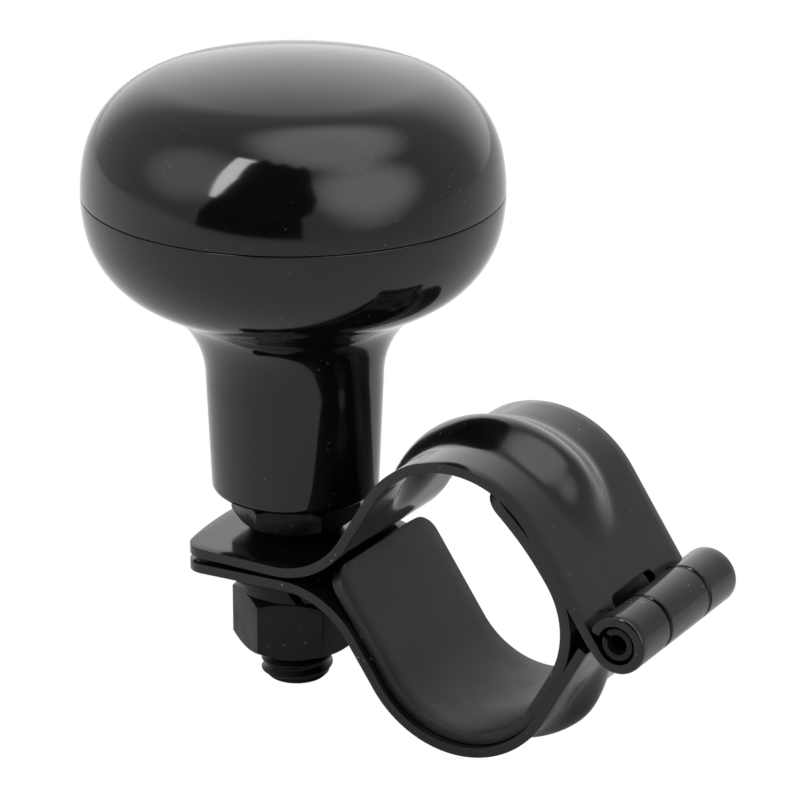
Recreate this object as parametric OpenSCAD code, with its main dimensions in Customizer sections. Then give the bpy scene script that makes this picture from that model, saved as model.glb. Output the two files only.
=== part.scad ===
// Steering wheel spinner knob: a free-turning knob on a ball-bearing stud, held to the wheel's
// rim by a hinged two-piece sheet steel clamp with a rubber liner.
// Millimetres. The origin is the centre of the round that seats in the liner, Y runs along the
// rim, X towards the hinge and Z up along the stud.

/* [Knob] */
// Largest radius of the knob, at its parting line
knob_r = 22.5; // [21:0.5:26]
// Height of the parting line above the flange
seam_h = 38.6; // [36:0.2:44]
// Wall of the two moulded shells
shell_t = 2.4; // [1.8:0.1:3]
// Radius of the near-flat side above the parting line
cap_side_r = 20.5; // [16:0.5:24]
// Radius of the near-flat side below the parting line
bowl_side_r = 17.8; // [15:0.2:22]
// Sweep of the near-flat side, above and below, in degrees
side_sweep = 11.3; // [6:0.1:16]
// Radius of the rounded shoulder above and below
shoulder_r = 10.85; // [9:0.05:12.5]
// Slope where the shoulder passes into the dome, in degrees
dome_slope = 76.2; // [70:0.2:80]
// Slope of the bowl's straight flank, above the neck's fillet, in degrees
bowl_slope = 60.8; // [58:0.2:64]
// Radius of the fillet between bowl and neck
neck_fillet_r = 10; // [6:0.5:12]
// Radius of the neck's upper end, under the fillet
neck_top_r = 9.6; // [9.2:0.05:10.4]
// Radius of the neck's lower end
neck_r = 9.1; // [9:0.1:10.5]
// Rounding of the neck's lower edge
neck_edge_r = 0.8; // [0.4:0.1:1.2]
// Gap between the flange and the neck's lower end
neck_gap = 4.9; // [4:0.1:7]
// Depth of the cap's spigot inside the bowl
spigot_depth = 3.2; // [2:0.2:5]
// Wall of the cap's spigot
spigot_t = 1.6; // [1.2:0.1:2]
// Clearance between the spigot and the bowl
spigot_clear = 0.12; // [0.05:0.01:0.3]
// Width of the fine groove at the parting line
seam_groove = 0.14; // [0.1:0.02:0.4]

/* [Bearings] */
// Bore of both ball bearings
bearing_bore = 8; // [7:0.5:8]
// Outer diameter of both ball bearings
bearing_od = 16; // [15:0.5:16]
// Width of both ball bearings
bearing_w = 5; // [4:0.5:6]
// Wall of each bearing ring at its land
ring_wall = 1; // [0.8:0.1:1.1]
// Ball diameter
ball_d = 2.38; // [2:0.02:2.4]
// Number of balls in each bearing
ball_count = 9; // [7:1:10]
// Play between a ball and its race
ball_play = 0.05; // [0.03:0.01:0.1]
// Distance between the two bearings
bearing_span = 11; // [8:0.5:14]

/* [Stud] */
// Thread diameter of the stud
stud_d = 7.9; // [7:0.1:8]
// Length of the stud below the flange
stud_drop = 17.4; // [15:0.2:24]
// Width across the flats of the collar and the nut
hex_af = 12.3; // [11.8:0.1:14]
// Turn of both hexagons about the stud, in degrees
hex_turn = 25; // [0:1:59]
// Height of the hexagonal collar
collar_h = 4.5; // [3.5:0.1:6]
// Slope of the bevels on the hexagons' corners, in degrees
hex_bevel = 28; // [20:1:35]
// Radius of the hexagons' flat end faces
hex_face_r = 5.8; // [5.5:0.1:5.9]
// Height of the collar's tapered round foot
collar_foot_h = 1.3; // [0.8:0.1:2]
// Radius of the collar's seat on the flange
collar_seat_r = 4.9; // [4.7:0.1:5.2]
// Lift of the collar's seat over the flange
collar_lift = 0.1; // [0.08:0.01:0.2]

/* [Nut and washers] */
// Height of the nut
nut_h = 6.8; // [5:0.1:8]
// Running clearance of the nut on the stud
nut_clear = 0.05; // [0.03:0.01:0.1]
// Outer diameter of the flat washer
washer_od = 16; // [14.5:0.5:18]
// Thickness of the flat washer
washer_t = 1.6; // [1:0.1:2]
// Outer diameter of the spring washer
spring_washer_od = 12.6; // [11.5:0.1:13.5]
// Thickness of the spring washer
spring_washer_t = 2; // [1.4:0.1:2.2]

/* [Clamp] */
// Thickness of the clamp's sheet
sheet_t = 1.05; // [0.9:0.05:1.3]
// Width of the clamp
clamp_w = 21.4; // [19:0.2:26]
// Distance between the stud and the rim's centre
stud_reach = 26.2; // [25.2:0.2:28]
// Height of the upper flange's top above the rim's centre
flange_z = 4.46; // [4:0.02:5]
// Reach of the flanges past the stud
flange_reach = 8.8; // [8.6:0.2:11]
// Radius of the bowed flange end
flange_bow_r = 44; // [30:1:80]
// Radius of the flanges' corners
flange_corner_r = 2.6; // [1:0.1:4]
// Diameter of the stud holes
stud_hole_d = 9; // [8.6:0.1:9.6]
// Radius of the concave bend above the upper flange
upper_bend_r = 9.7; // [8:0.1:11]
// Rise of the upper half's left flank, in degrees
upper_rise = 59.4; // [56:0.2:62]
// Length of the upper half's left flank
upper_flank = 6.35; // [6:0.05:8]
// Outer radius of the crown
crown_r = 11.95; // [11.5:0.05:13]
// Fall of the upper half's right flank, in degrees
upper_fall = 56; // [53:0.5:58]
// Length of the upper half's right flank, up to the hinge
hinge_flank = 13.96; // [13.5:0.02:15]
// Radius of the concave bend under the lower flange
lower_bend_r = 9.4; // [8:0.1:11]
// Fall of the lower half's left flank, in degrees
lower_fall = 55.4; // [53:0.2:58]
// Length of the lower half's left flank
lower_flank = 5.8; // [5.4:0.1:7]
// Tilt of the lower flange against the upper one, in degrees
flange_tilt = 1.96; // [1:0.02:2.4]

/* [Stamped rib] */
// Height of the rib pressed out of each half
rib_h = 1.75; // [1:0.05:2.2]
// Half the width of the rib
rib_half_w = 5.6; // [3.5:0.1:6.5]
// Length of the rib's run-out on the left flank
rib_run_left = 5; // [4:0.5:6]
// Length of the rib's run-out on the right flank
rib_run_right = 10; // [6:0.5:12]

/* [Hinge] */
// Diameter of the hinge pin
pin_d = 4; // [3.5:0.1:4.2]
// Bore of the rolled hinge pin
pin_bore = 2.2; // [2:0.1:3]
// Clearance between the pin and the knuckles
pin_clear = 0.1; // [0.05:0.01:0.15]
// Width of the middle knuckle
mid_knuckle_w = 8.6; // [7:0.1:10]
// Gap between the knuckles
knuckle_gap = 0.3; // [0.2:0.05:0.5]
// Opening left between a knuckle's end and its own sheet
curl_gap = 0.15; // [0.1:0.05:0.6]
// Height of the notch above the pin's foot on the flank
notch_rise = 4; // [3.8:0.1:4.6]
// Rounding of the notch's inner corners
notch_corner_r = 1; // [0.5:0.1:2]
// Distance from the pin's foot down to the lower half's shoulders
shoulder_drop = 3.15; // [3.1:0.05:4]

/* [Liner] */
// Radius of the round that seats in the liner
rim_r = 9.7; // [9:0.1:11]
// Thickness of the rubber liner
liner_t = 1.25; // [1:0.05:1.6]
// Gap between the liner and the lower half
liner_gap = 0.05; // [0.03:0.01:0.1]
// Width of the rubber liner
liner_w = 19.6; // [17:0.2:20]
// Clearance between the liner's free part and the upper half
liner_clear = 0.3; // [0.25:0.05:0.4]
// Inner radius of the liner's turn under the hinge
liner_turn_r = 9.5; // [8.5:0.1:9.8]
// Radius and sweep in degrees of the liner's free tip
liner_tip_r = 34; // [30:1:40]
// Sweep of the free tip, in degrees
liner_tip_sweep = 19; // [14:1:19]
// Slope of the liner's end on the lower half's bend, in degrees
liner_end_slope = 24; // [18:1:40]
// Rounding of the liner's corners
liner_corner_r = 2.4; // [1:0.1:4]

/* [Hidden] */
$fn = 96;

eps = 0.01;
stud_x = -stud_reach;
black_gloss = [0.04, 0.04, 0.045];
black_paint = [0.06, 0.06, 0.065];
black_oxide = [0.12, 0.12, 0.13];
steel = [0.66, 0.67, 0.7];
rubber = [0.09, 0.09, 0.09];

// Heights above the flange, along the stud
lip_t = 0.6;
shoulder_h = neck_gap + lip_t;
lower_bearing_h = shoulder_h;
upper_bearing_h = lower_bearing_h + bearing_w + bearing_span;
thrust_washer_t = 1;
clip_t = 0.8;
clip_h = upper_bearing_h + bearing_w + thrust_washer_t;
stud_rise = clip_h + clip_t + 1.6;

// Bearings
pitch_r = (bearing_bore + bearing_od) / 4;
inner_land_r = bearing_bore / 2 + ring_wall;
outer_land_r = bearing_od / 2 - ring_wall;
race_r = ball_d / 2 + ball_play;
cage_t = 0.8;
cage_h = ball_d + 0.7;
seat_clear = 0.02;

// Hinge, in the XZ plane
knuckle_in = pin_d / 2 + pin_clear;
knuckle_out = knuckle_in + sheet_t;

function dir(a) = [cos(a), sin(a)];
function left_of(a) = [-sin(a), cos(a)];
function arc(c, r, a0, a1, n) = [for (i = [0:n]) c + r * dir(a0 + (a1 - a0) * i / n)];

// Upper half: its upper and outer line from the flange to the hinge
upper_bend_start = [stud_x + 3.7, flange_z];
upper_bend_c = upper_bend_start + [0, upper_bend_r];
upper_flank_start = upper_bend_c + upper_bend_r * dir(upper_rise - 90);
crown_start = upper_flank_start + upper_flank * dir(upper_rise);
crown_c = crown_start - crown_r * left_of(upper_rise);
crown_end = crown_c + crown_r * left_of(-upper_fall);
hinge_foot = crown_end + hinge_flank * dir(-upper_fall);
hinge_c = hinge_foot + knuckle_in * left_of(-upper_fall);

// Lower half: its lower and outer line, round the rim's centre
lower_out_r = rim_r + liner_t + liner_gap + sheet_t;
hinge_angle = atan2(hinge_c[1], hinge_c[0]);
lower_rise = hinge_angle - acos((lower_out_r + knuckle_in) / norm(hinge_c)) + 90;
lower_flank_end = -lower_out_r * left_of(-lower_fall);
lower_flank_start = lower_flank_end - lower_flank * dir(-lower_fall);
lower_bend_c = lower_flank_start - lower_bend_r * left_of(-lower_fall);
lower_bend_start = lower_bend_c + lower_bend_r * left_of(flange_tilt);
lower_arc_end = -lower_out_r * left_of(lower_rise);
lower_foot = hinge_c + knuckle_in * left_of(lower_rise);

// A knuckle ends where its outer face is the curl gap away from its own sheet
curl_open = acos((knuckle_in - curl_gap) / knuckle_out);

// Washers and nut hang below the lowest point of the lower flange
washer_left = stud_x - washer_od / 2;
washer_top = lower_bend_start[1] + (washer_left - lower_bend_start[0]) * tan(flange_tilt) - 0.03;
spring_washer_top = washer_top - washer_t;
nut_top = spring_washer_top - spring_washer_t;

// A path is a list of stations [point, heading] along one face of a sheet. The stamped strips
// start and end a little way inside the flat steel that carries on from them.
joint_len = 0.5;
joint_lap = 0.25;
joint_inset = 0.02;
right_run = 6.3;
function run(p, a, length, n) = [for (i = [0:n]) [p + length * i / n * dir(a), a]];
function turn(c, r, a0, a1, side, n) =
    [for (i = [1:n]) let (a = a0 + (a1 - a0) * i / n) [c + side * r * left_of(a), a]];

upper_flange_path = concat(
    [[[stud_x - flange_reach - 1, flange_z], 0], [upper_bend_start, 0]],
    turn(upper_bend_c, upper_bend_r, 0, upper_rise, -1, 14),
    [[upper_flank_start + joint_len * dir(upper_rise), upper_rise]]);
upper_rib_path = concat(
    run(upper_flank_start + joint_lap * dir(upper_rise), upper_rise, upper_flank - joint_lap, 7),
    turn(crown_c, crown_r, upper_rise, -upper_fall, 1, 24),
    run(crown_end + right_run / 7 * dir(-upper_fall), -upper_fall, right_run * 6 / 7, 6));
upper_hinge_path = concat(
    [[crown_end + (right_run - joint_lap) * dir(-upper_fall), -upper_fall], [hinge_foot, -upper_fall]],
    turn(hinge_c, knuckle_in, -upper_fall, 360 - upper_fall - curl_open, -1, 24));

lower_flange_len = (lower_bend_start[0] - stud_x + flange_reach + 1) / cos(flange_tilt);
lower_flange_path = concat(
    [[lower_bend_start - lower_flange_len * dir(flange_tilt), flange_tilt], [lower_bend_start, flange_tilt]],
    turn(lower_bend_c, lower_bend_r, flange_tilt, -lower_fall, 1, 14),
    [[lower_flank_start + joint_len * dir(-lower_fall), -lower_fall]]);
lower_rib_path = concat(
    run(lower_flank_start + joint_lap * dir(-lower_fall), -lower_fall, lower_flank - joint_lap, 6),
    turn([0, 0], lower_out_r, -lower_fall, lower_rise, -1, 24),
    run(lower_arc_end + right_run / 7 * dir(lower_rise), lower_rise, right_run * 6 / 7, 6));
lower_shoulder = lower_foot - shoulder_drop * dir(lower_rise);
lower_flank_path = [
    [lower_arc_end + (right_run - joint_lap) * dir(lower_rise), lower_rise],
    [lower_shoulder, lower_rise]];
lower_hinge_path = concat(
    [[lower_shoulder - dir(lower_rise), lower_rise], [lower_foot, lower_rise]],
    turn(hinge_c, knuckle_in, lower_rise, lower_rise - 360 + curl_open, 1, 24));

// The liner lies on the lower half, turns under the hinge and ends in a free tip
liner_bend_r = lower_bend_r + sheet_t + liner_gap + liner_t;
turn_out_r = liner_turn_r + liner_t;
turn_lower_d = rim_r + liner_t - turn_out_r;
turn_upper_d = crown_end * left_of(-upper_fall) - sheet_t - liner_clear - turn_out_r;
turn_n1 = -left_of(lower_rise);
turn_n2 = left_of(-upper_fall);
turn_det = turn_n1[0] * turn_n2[1] - turn_n1[1] * turn_n2[0];
turn_c = [
    turn_n2[1] * turn_lower_d - turn_n1[1] * turn_upper_d,
    turn_n1[0] * turn_upper_d - turn_n2[0] * turn_lower_d] / turn_det;
tip_c = turn_c + (liner_turn_r - liner_tip_r) * turn_n2;
liner_seat_start = -rim_r * left_of(-lower_fall);
liner_seat_end = -rim_r * left_of(lower_rise);
liner_start = lower_bend_c + liner_bend_r * left_of(-liner_end_slope);
liner_left_path = concat(
    [[liner_start, -liner_end_slope]],
    turn(lower_bend_c, liner_bend_r, -liner_end_slope, -lower_fall, 1, 10),
    [[liner_seat_start - joint_lap * dir(-lower_fall), -lower_fall],
     [liner_seat_start + joint_lap * dir(-lower_fall), -lower_fall, joint_inset]]);
liner_tip_angle = 180 - upper_fall + liner_tip_sweep;
liner_tip_end = tip_c - liner_tip_r * left_of(liner_tip_angle);
liner_right_path = concat(
    [[liner_seat_end - joint_lap * dir(lower_rise), lower_rise, joint_inset],
     [liner_seat_end + joint_lap * dir(lower_rise), lower_rise],
     [turn_c - liner_turn_r * left_of(lower_rise), lower_rise]],
    turn(turn_c, liner_turn_r, lower_rise, 180 - upper_fall, -1, 12),
    turn(tip_c, liner_tip_r, 180 - upper_fall, liner_tip_angle, -1, 6));

function path_length(st, i) = i == 0 ? 0 : path_length(st, i - 1) + norm(st[i][0] - st[i - 1][0]);

// Height of the rib at distance s along the sheet and y across it
function rib_swell(rho) = rho >= 1 ? 0 : 0.5 * (1 + cos(180 * rho));
function rib_rho(s, y, s0, s1) =
    let (before = max(0, s0 + rib_run_left - s) / rib_run_left,
         after = max(0, s - (s1 - rib_run_right)) / rib_run_right)
    norm([y / rib_half_w, before, after]);

rib_cols = 14;
rib_ys = concat([-clamp_w / 2],
    [for (i = [0:rib_cols]) rib_half_w * (2 * i / rib_cols - 1)],
    [clamp_w / 2]);

// A strip of sheet along the stations, with the rib pressed towards out_side (+1 left, -1 right)
module stamped_strip(st, out_side) {
    n = len(st);
    m = len(rib_ys);
    total = path_length(st, n - 1);
    function inset(i) = i == 0 || i == n - 1 ? joint_inset : 0;
    function point(i, j, depth) =
        let (s = path_length(st, i), y = rib_ys[j],
             h = rib_h * rib_swell(rib_rho(s, y, joint_len, total - joint_len)),
             p = st[i][0] + out_side * (h - depth) * left_of(st[i][1]))
        [p[0], y * (1 - inset(i) / clamp_w), p[1]];
    outer = [for (i = [0:n - 1]) for (j = [0:m - 1]) point(i, j, inset(i))];
    inner = [for (i = [0:n - 1]) for (j = [0:m - 1]) point(i, j, sheet_t - inset(i))];
    b = n * m;
    function quad(a0, a1, a2, a3) =
        out_side > 0 ? [[a0, a1, a2], [a0, a2, a3]] : [[a0, a2, a1], [a0, a3, a2]];
    faces = [
        for (i = [0:n - 2]) for (j = [0:m - 2]) let (k = i * m + j)
            each concat(quad(k, k + 1, k + m + 1, k + m), quad(b + k, b + k + m, b + k + m + 1, b + k + 1)),
        for (i = [0:n - 2]) let (k = i * m) each quad(k, k + m, b + k + m, b + k),
        for (i = [0:n - 2]) let (k = i * m + m - 1) each quad(k, b + k, b + k + m, k + m),
        for (j = [0:m - 2]) each quad(j, b + j, b + j + 1, j + 1),
        for (j = [0:m - 2]) let (k = (n - 1) * m + j) each quad(k, k + 1, b + k + 1, b + k)
    ];
    polyhedron(concat(outer, inner), faces, convexity = 6);
}

// Sheet of thickness t along a path, with its metal on the left (+1) or the right (-1) of it. A
// station's third value, if any, thins the sheet there from both faces.
module strip(path, side, t, w) {
    function thinned(st) = len(st) > 2 ? st[2] : 0;
    near_face = [for (st = path) st[0] + side * thinned(st) * left_of(st[1])];
    far_face = [for (st = path) st[0] + side * (t - thinned(st)) * left_of(st[1])];
    across(w) polygon(concat(near_face, reversed(far_face)));
}

// Extrudes a section in the XZ plane along Y
module across(w) {
    rotate([90, 0, 0]) linear_extrude(w, center = true) children();
}

// Outline of a flange seen from above: its corner rounds run smoothly into the bowed end
module flange_plan(x1) {
    bow_c = [stud_x - flange_reach + flange_bow_r, 0];
    corner_y = clamp_w / 2 - flange_corner_r;
    beta = asin(corner_y / (flange_bow_r - flange_corner_r));
    corner_x = bow_c[0] - (flange_bow_r - flange_corner_r) * cos(beta);
    polygon(concat(
        arc(bow_c, flange_bow_r, 180 - beta, 180 + beta, 12),
        without(arc([corner_x, -corner_y], flange_corner_r, 180 + beta, 270, 8), 1),
        [[x1, -clamp_w / 2], [x1, clamp_w / 2]],
        reversed(without(reversed(arc([corner_x, corner_y], flange_corner_r, 90, 180 - beta, 8)), 1))));
}

module stud_hole(z0, z1) {
    translate([stud_x, 0, z0]) cylinder(h = z1 - z0, d = stud_hole_d);
}

module clamp_upper_half() color(black_paint) {
    difference() {
        union() {
            intersection() {
                strip(upper_flange_path, -1, sheet_t, clamp_w + 1);
                translate([0, 0, -clamp_w]) linear_extrude(3 * clamp_w) flange_plan(crown_start[0]);
            }
            stamped_strip(upper_rib_path, 1);
            strip(upper_hinge_path, -1, sheet_t, clamp_w);
        }
        stud_hole(flange_z - sheet_t - 1, flange_z + 1);
        hinge_notch();
    }
}

// Space between the outer knuckles, up the flank to the notch's edge with its rounded corners
module hinge_notch() {
    half_w = mid_knuckle_w / 2 + knuckle_gap;
    corner = [notch_corner_r - notch_rise, half_w - notch_corner_r];
    translate([hinge_c[0], 0, hinge_c[1]]) rotate([0, upper_fall, 0])
        linear_extrude(2 * knuckle_out + 2, center = true) polygon(concat(
            [[knuckle_out + 1, half_w]],
            arc(corner, notch_corner_r, 90, 180, 6),
            arc([corner[0], -corner[1]], notch_corner_r, 180, 270, 6),
            [[knuckle_out + 1, -half_w]]));
}

module clamp_lower_half() color(black_paint) {
    difference() {
        union() {
            intersection() {
                strip(lower_flange_path, 1, sheet_t, clamp_w + 1);
                translate([0, 0, -clamp_w]) linear_extrude(3 * clamp_w) flange_plan(lower_flank_end[0]);
            }
            stamped_strip(lower_rib_path, -1);
            strip(lower_flank_path, 1, sheet_t, clamp_w);
            strip(lower_hinge_path, 1, sheet_t, mid_knuckle_w);
        }
        stud_hole(-flange_z, flange_z + 1);
    }
}

module hinge_pin() color(black_oxide) {
    pin_len = clamp_w - 0.5;
    slit = 0.6;
    translate([hinge_c[0], 0, hinge_c[1]]) rotate([90, 0, 0]) difference() {
        rotate_extrude() polygon([
            [pin_bore / 2, -pin_len / 2], [pin_d / 2 - 0.3, -pin_len / 2], [pin_d / 2, -pin_len / 2 + 0.5],
            [pin_d / 2, pin_len / 2 - 0.5], [pin_d / 2 - 0.3, pin_len / 2], [pin_bore / 2, pin_len / 2]]);
        rotate([0, 0, 150]) translate([0, -slit / 2, -pin_len]) cube([pin_d, slit, 2 * pin_len]);
    }
}

// The round seat, a true arc from heading a0 to a1
module liner_seat(a0, a1) {
    reach = 2 * (rim_r + liner_t);
    across(liner_w) intersection() {
        difference() {
            circle(rim_r + liner_t);
            circle(rim_r);
        }
        polygon(concat([[0, 0]], arc([0, 0], reach, a0 - 90, a1 - 90, 8)));
    }
}

// Takes both corners off the liner's end at p; a is the heading into the liner
module round_off(p, a) {
    r = liner_corner_r;
    translate([p[0], 0, p[1]]) rotate([0, -a, 0]) for (s = [0, 1]) mirror([0, s, 0])
        translate([0, liner_w / 2 - r, 0]) linear_extrude(4 * liner_t, center = true) difference() {
            translate([-1, 0]) square(r + 1);
            translate([r, 0]) circle(r);
        }
}

module rubber_liner() color(rubber) {
    difference() {
        union() {
            strip(liner_left_path, -1, liner_t, liner_w);
            liner_seat(-lower_fall, lower_rise);
            strip(liner_right_path, -1, liner_t, liner_w);
        }
        round_off(liner_start, -liner_end_slope);
        round_off(liner_tip_end, liner_tip_angle + 180);
    }
}

// Knob profile, as radius and height above the flange
cap_side_c = [knob_r - cap_side_r, seam_h];
cap_shoulder_c = cap_side_c + (cap_side_r - shoulder_r) * dir(side_sweep);
dome_r = shoulder_r + cap_shoulder_c[0] / cos(dome_slope);
dome_c = cap_shoulder_c + (shoulder_r - dome_r) * dir(dome_slope);
bowl_side_c = [knob_r - bowl_side_r, seam_h];
bowl_shoulder_c = bowl_side_c + (bowl_side_r - shoulder_r) * dir(-side_sweep);

// The bowl's straight flank is as long as the fillet needs to end on the neck
tangent_c = bowl_shoulder_c + (shoulder_r + neck_fillet_r) * dir(-bowl_slope);
bowl_flank = (tangent_c[0] - neck_top_r - neck_fillet_r) / sin(bowl_slope);
fillet_c = tangent_c - bowl_flank * left_of(-bowl_slope);

function cap_curve(inset) = concat(
    arc(cap_side_c, cap_side_r - inset, 0, side_sweep, 3),
    arc(cap_shoulder_c, shoulder_r - inset, side_sweep, dome_slope, 18),
    arc(dome_c, dome_r - inset, dome_slope, 90, 6));
function bowl_curve(inset) = concat(
    arc(bowl_side_c, bowl_side_r - inset, 0, -side_sweep, 3),
    arc(bowl_shoulder_c, shoulder_r - inset, -side_sweep, -bowl_slope, 16));
function without(points, k) = [for (i = [k:len(points) - 1]) points[i]];
function reversed(points) = [for (i = [len(points) - 1:-1:0]) points[i]];

module at_stud(h = 0) {
    translate([stud_x, 0, flange_z + h]) children();
}

module knob_cap() color(black_gloss) {
    half = seam_groove / 2;
    spigot = [for (p = bowl_curve(shell_t + spigot_clear)) if (p[1] > seam_h - spigot_depth) p];
    spigot_end = spigot[len(spigot) - 1];
    at_stud() rotate_extrude() polygon(concat(
        [[spigot[0][0], seam_h + half], [knob_r - 0.3, seam_h + half]],
        without(cap_curve(0), 1),
        reversed(without(cap_curve(shell_t), 4)),
        [[spigot_end[0] - spigot_t, seam_h + 2.4], [spigot_end[0] - spigot_t, spigot_end[1]]],
        reversed(spigot)));
}

module knob_body() color(black_gloss) {
    bore_r = bearing_od / 2 + seat_clear;
    lip_r = bearing_od / 2 - 0.8;
    half = seam_groove / 2;
    floor_h = upper_bearing_h + bearing_w + 0.4;
    edge_c = [neck_r - neck_edge_r, neck_gap + neck_edge_r];
    at_stud() rotate_extrude() polygon(concat(
        [[knob_r - shell_t, seam_h - half], [knob_r - 0.3, seam_h - half]],
        without(bowl_curve(0), 1),
        arc(fillet_c, neck_fillet_r, 180 - bowl_slope, 180, 10),
        arc(edge_c, neck_edge_r, 0, -90, 4),
        [[lip_r, neck_gap], [lip_r, neck_gap + lip_t], [bore_r, neck_gap + lip_t], [bore_r, floor_h],
         [bore_r + 2, floor_h], [bore_r + 3, floor_h - 0.6]],
        reversed(without(bowl_curve(shell_t), 1))));
}

// A regular hexagon with its corners bevelled at both ends, up to height h. low_end is the profile
// of its underside, from the axis out to where the lower bevel starts.
module bevelled_hex(low_end, h) {
    outer_r = hex_af / sqrt(3) + 0.2;
    bevel_h = (outer_r - hex_face_r) * tan(hex_bevel);
    foot_h = low_end[len(low_end) - 1][1];
    intersection() {
        rotate(hex_turn) cylinder(h = h, r = hex_af / sqrt(3), $fn = 6);
        rotate_extrude() polygon(concat(
            low_end, [[outer_r, foot_h + bevel_h], [outer_r, h - bevel_h], [hex_face_r, h], [0, h]]));
    }
}

module stud() color(black_oxide) {
    journal_r = bearing_bore / 2 - seat_clear;
    at_stud() difference() {
        union() {
            rotate_extrude() polygon([
                [0, -stud_drop], [stud_d / 2 - 0.8, -stud_drop], [stud_d / 2, -stud_drop + 1], [stud_d / 2, 0.5],
                [inner_land_r, 0.5], [inner_land_r, shoulder_h], [journal_r, shoulder_h],
                [journal_r, stud_rise - 0.5], [journal_r - 0.5, stud_rise], [0, stud_rise]]);
            bevelled_hex(
                [[0, collar_lift], [collar_seat_r, collar_lift], [hex_face_r, collar_foot_h]], collar_h);
        }
        translate([0, 0, clip_h]) difference() {
            cylinder(h = clip_t + 0.05, r = journal_r + 1);
            translate([0, 0, -1]) cylinder(h = clip_t + 2, r = journal_r - 0.45);
        }
    }
}

module retaining_clip() color(steel) {
    grip_r = bearing_bore / 2 - 0.45;
    at_stud(clip_h) difference() {
        cylinder(h = clip_t, r = grip_r + 1.5);
        translate([0, 0, -1]) cylinder(h = clip_t + 2, r = grip_r + seat_clear);
        translate([0, -1.1, -1]) cube([bearing_bore, 2.2, clip_t + 2]);
    }
}

module plain_ring(r_in, r_out, h) {
    difference() {
        cylinder(h = h, r = r_out);
        translate([0, 0, -1]) cylinder(h = h + 2, r = r_in);
    }
}

module thrust_washer() color(steel) {
    at_stud(upper_bearing_h + bearing_w)
        plain_ring(bearing_bore / 2 + 0.1, inner_land_r + 0.6, thrust_washer_t);
}

module inner_spacer() color(steel) {
    at_stud(lower_bearing_h + bearing_w) plain_ring(bearing_bore / 2 + 0.05, inner_land_r, bearing_span);
}

module outer_spacer() color(steel) {
    at_stud(lower_bearing_h + bearing_w) plain_ring(outer_land_r, bearing_od / 2 - 0.05, bearing_span);
}

// Ball groove, centred at mid-width
module race() {
    translate([0, 0, bearing_w / 2]) rotate_extrude() translate([pitch_r, 0]) circle(race_r, $fn = 48);
}

module outer_ring() color(steel) {
    difference() {
        plain_ring(outer_land_r, bearing_od / 2, bearing_w);
        race();
    }
}

module inner_ring() color(steel) {
    difference() {
        plain_ring(bearing_bore / 2, inner_land_r, bearing_w);
        race();
    }
}

module each_ball() {
    for (i = [0:ball_count - 1]) rotate(i * 360 / ball_count)
        translate([pitch_r, 0, bearing_w / 2]) children();
}

module cage() color("goldenrod") {
    difference() {
        translate([0, 0, (bearing_w - cage_h) / 2])
            plain_ring(pitch_r - cage_t / 2, pitch_r + cage_t / 2, cage_h);
        each_ball() rotate([0, 90, 0]) cylinder(h = 2 * cage_t, d = ball_d + 0.16, center = true, $fn = 36);
    }
}

module balls() color(steel) {
    each_ball() sphere(d = ball_d, $fn = 32);
}

module flat_washer() color(black_oxide) {
    translate([stud_x, 0, washer_top - washer_t]) plain_ring(stud_d / 2 + 0.25, washer_od / 2, washer_t);
}

// Split ring of square wire, its ends cut on a slant
module spring_washer() color(black_oxide) {
    slot = 0.8;
    translate([stud_x, 0, nut_top]) difference() {
        plain_ring(stud_d / 2 + 0.2, spring_washer_od / 2, spring_washer_t);
        rotate(-60) translate([stud_d / 2 - 1, 0, spring_washer_t / 2]) rotate([35, 0, 0])
            translate([0, -slot / 2, -spring_washer_t * 2]) cube([spring_washer_od, slot, spring_washer_t * 4]);
    }
}

module clamp_nut() color(black_oxide) {
    bore_r = stud_d / 2 + nut_clear;
    translate([stud_x, 0, nut_top - nut_h]) difference() {
        bevelled_hex([[0, 0], [hex_face_r, 0]], nut_h);
        translate([0, 0, -1]) cylinder(h = nut_h + 2, r = bore_r);
        for (flip = [0, 1]) translate([0, 0, flip * nut_h]) mirror([0, 0, flip])
            translate([0, 0, -eps]) cylinder(h = 0.5, r1 = bore_r + 0.5, r2 = bore_r);
    }
}

knob_cap();
knob_body();
stud();
retaining_clip();
thrust_washer();
inner_spacer();
outer_spacer();
at_stud(lower_bearing_h) outer_ring();  // lower_bearing_outer_ring
at_stud(lower_bearing_h) inner_ring();  // lower_bearing_inner_ring
at_stud(lower_bearing_h) cage();  // lower_bearing_cage
at_stud(lower_bearing_h) balls();  // lower_bearing_balls
at_stud(upper_bearing_h) outer_ring();  // upper_bearing_outer_ring
at_stud(upper_bearing_h) inner_ring();  // upper_bearing_inner_ring
at_stud(upper_bearing_h) cage();  // upper_bearing_cage
at_stud(upper_bearing_h) balls();  // upper_bearing_balls
clamp_upper_half();
clamp_lower_half();
hinge_pin();
rubber_liner();
flat_washer();
spring_washer();
clamp_nut();
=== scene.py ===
"""Looks of a steering wheel spinner knob: gloss black knob, painted sheet clamp, black oxide
hardware and a rubber liner, lit as in a small photo studio.

Lengths are in millimetres inside the classes and turned to metres where a mesh is made.
"""

import logging
import math
from dataclasses import dataclass, field
from enum import Enum
from typing import Any, Optional, Sequence

import bpy
from mathutils import Matrix, Vector

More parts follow.
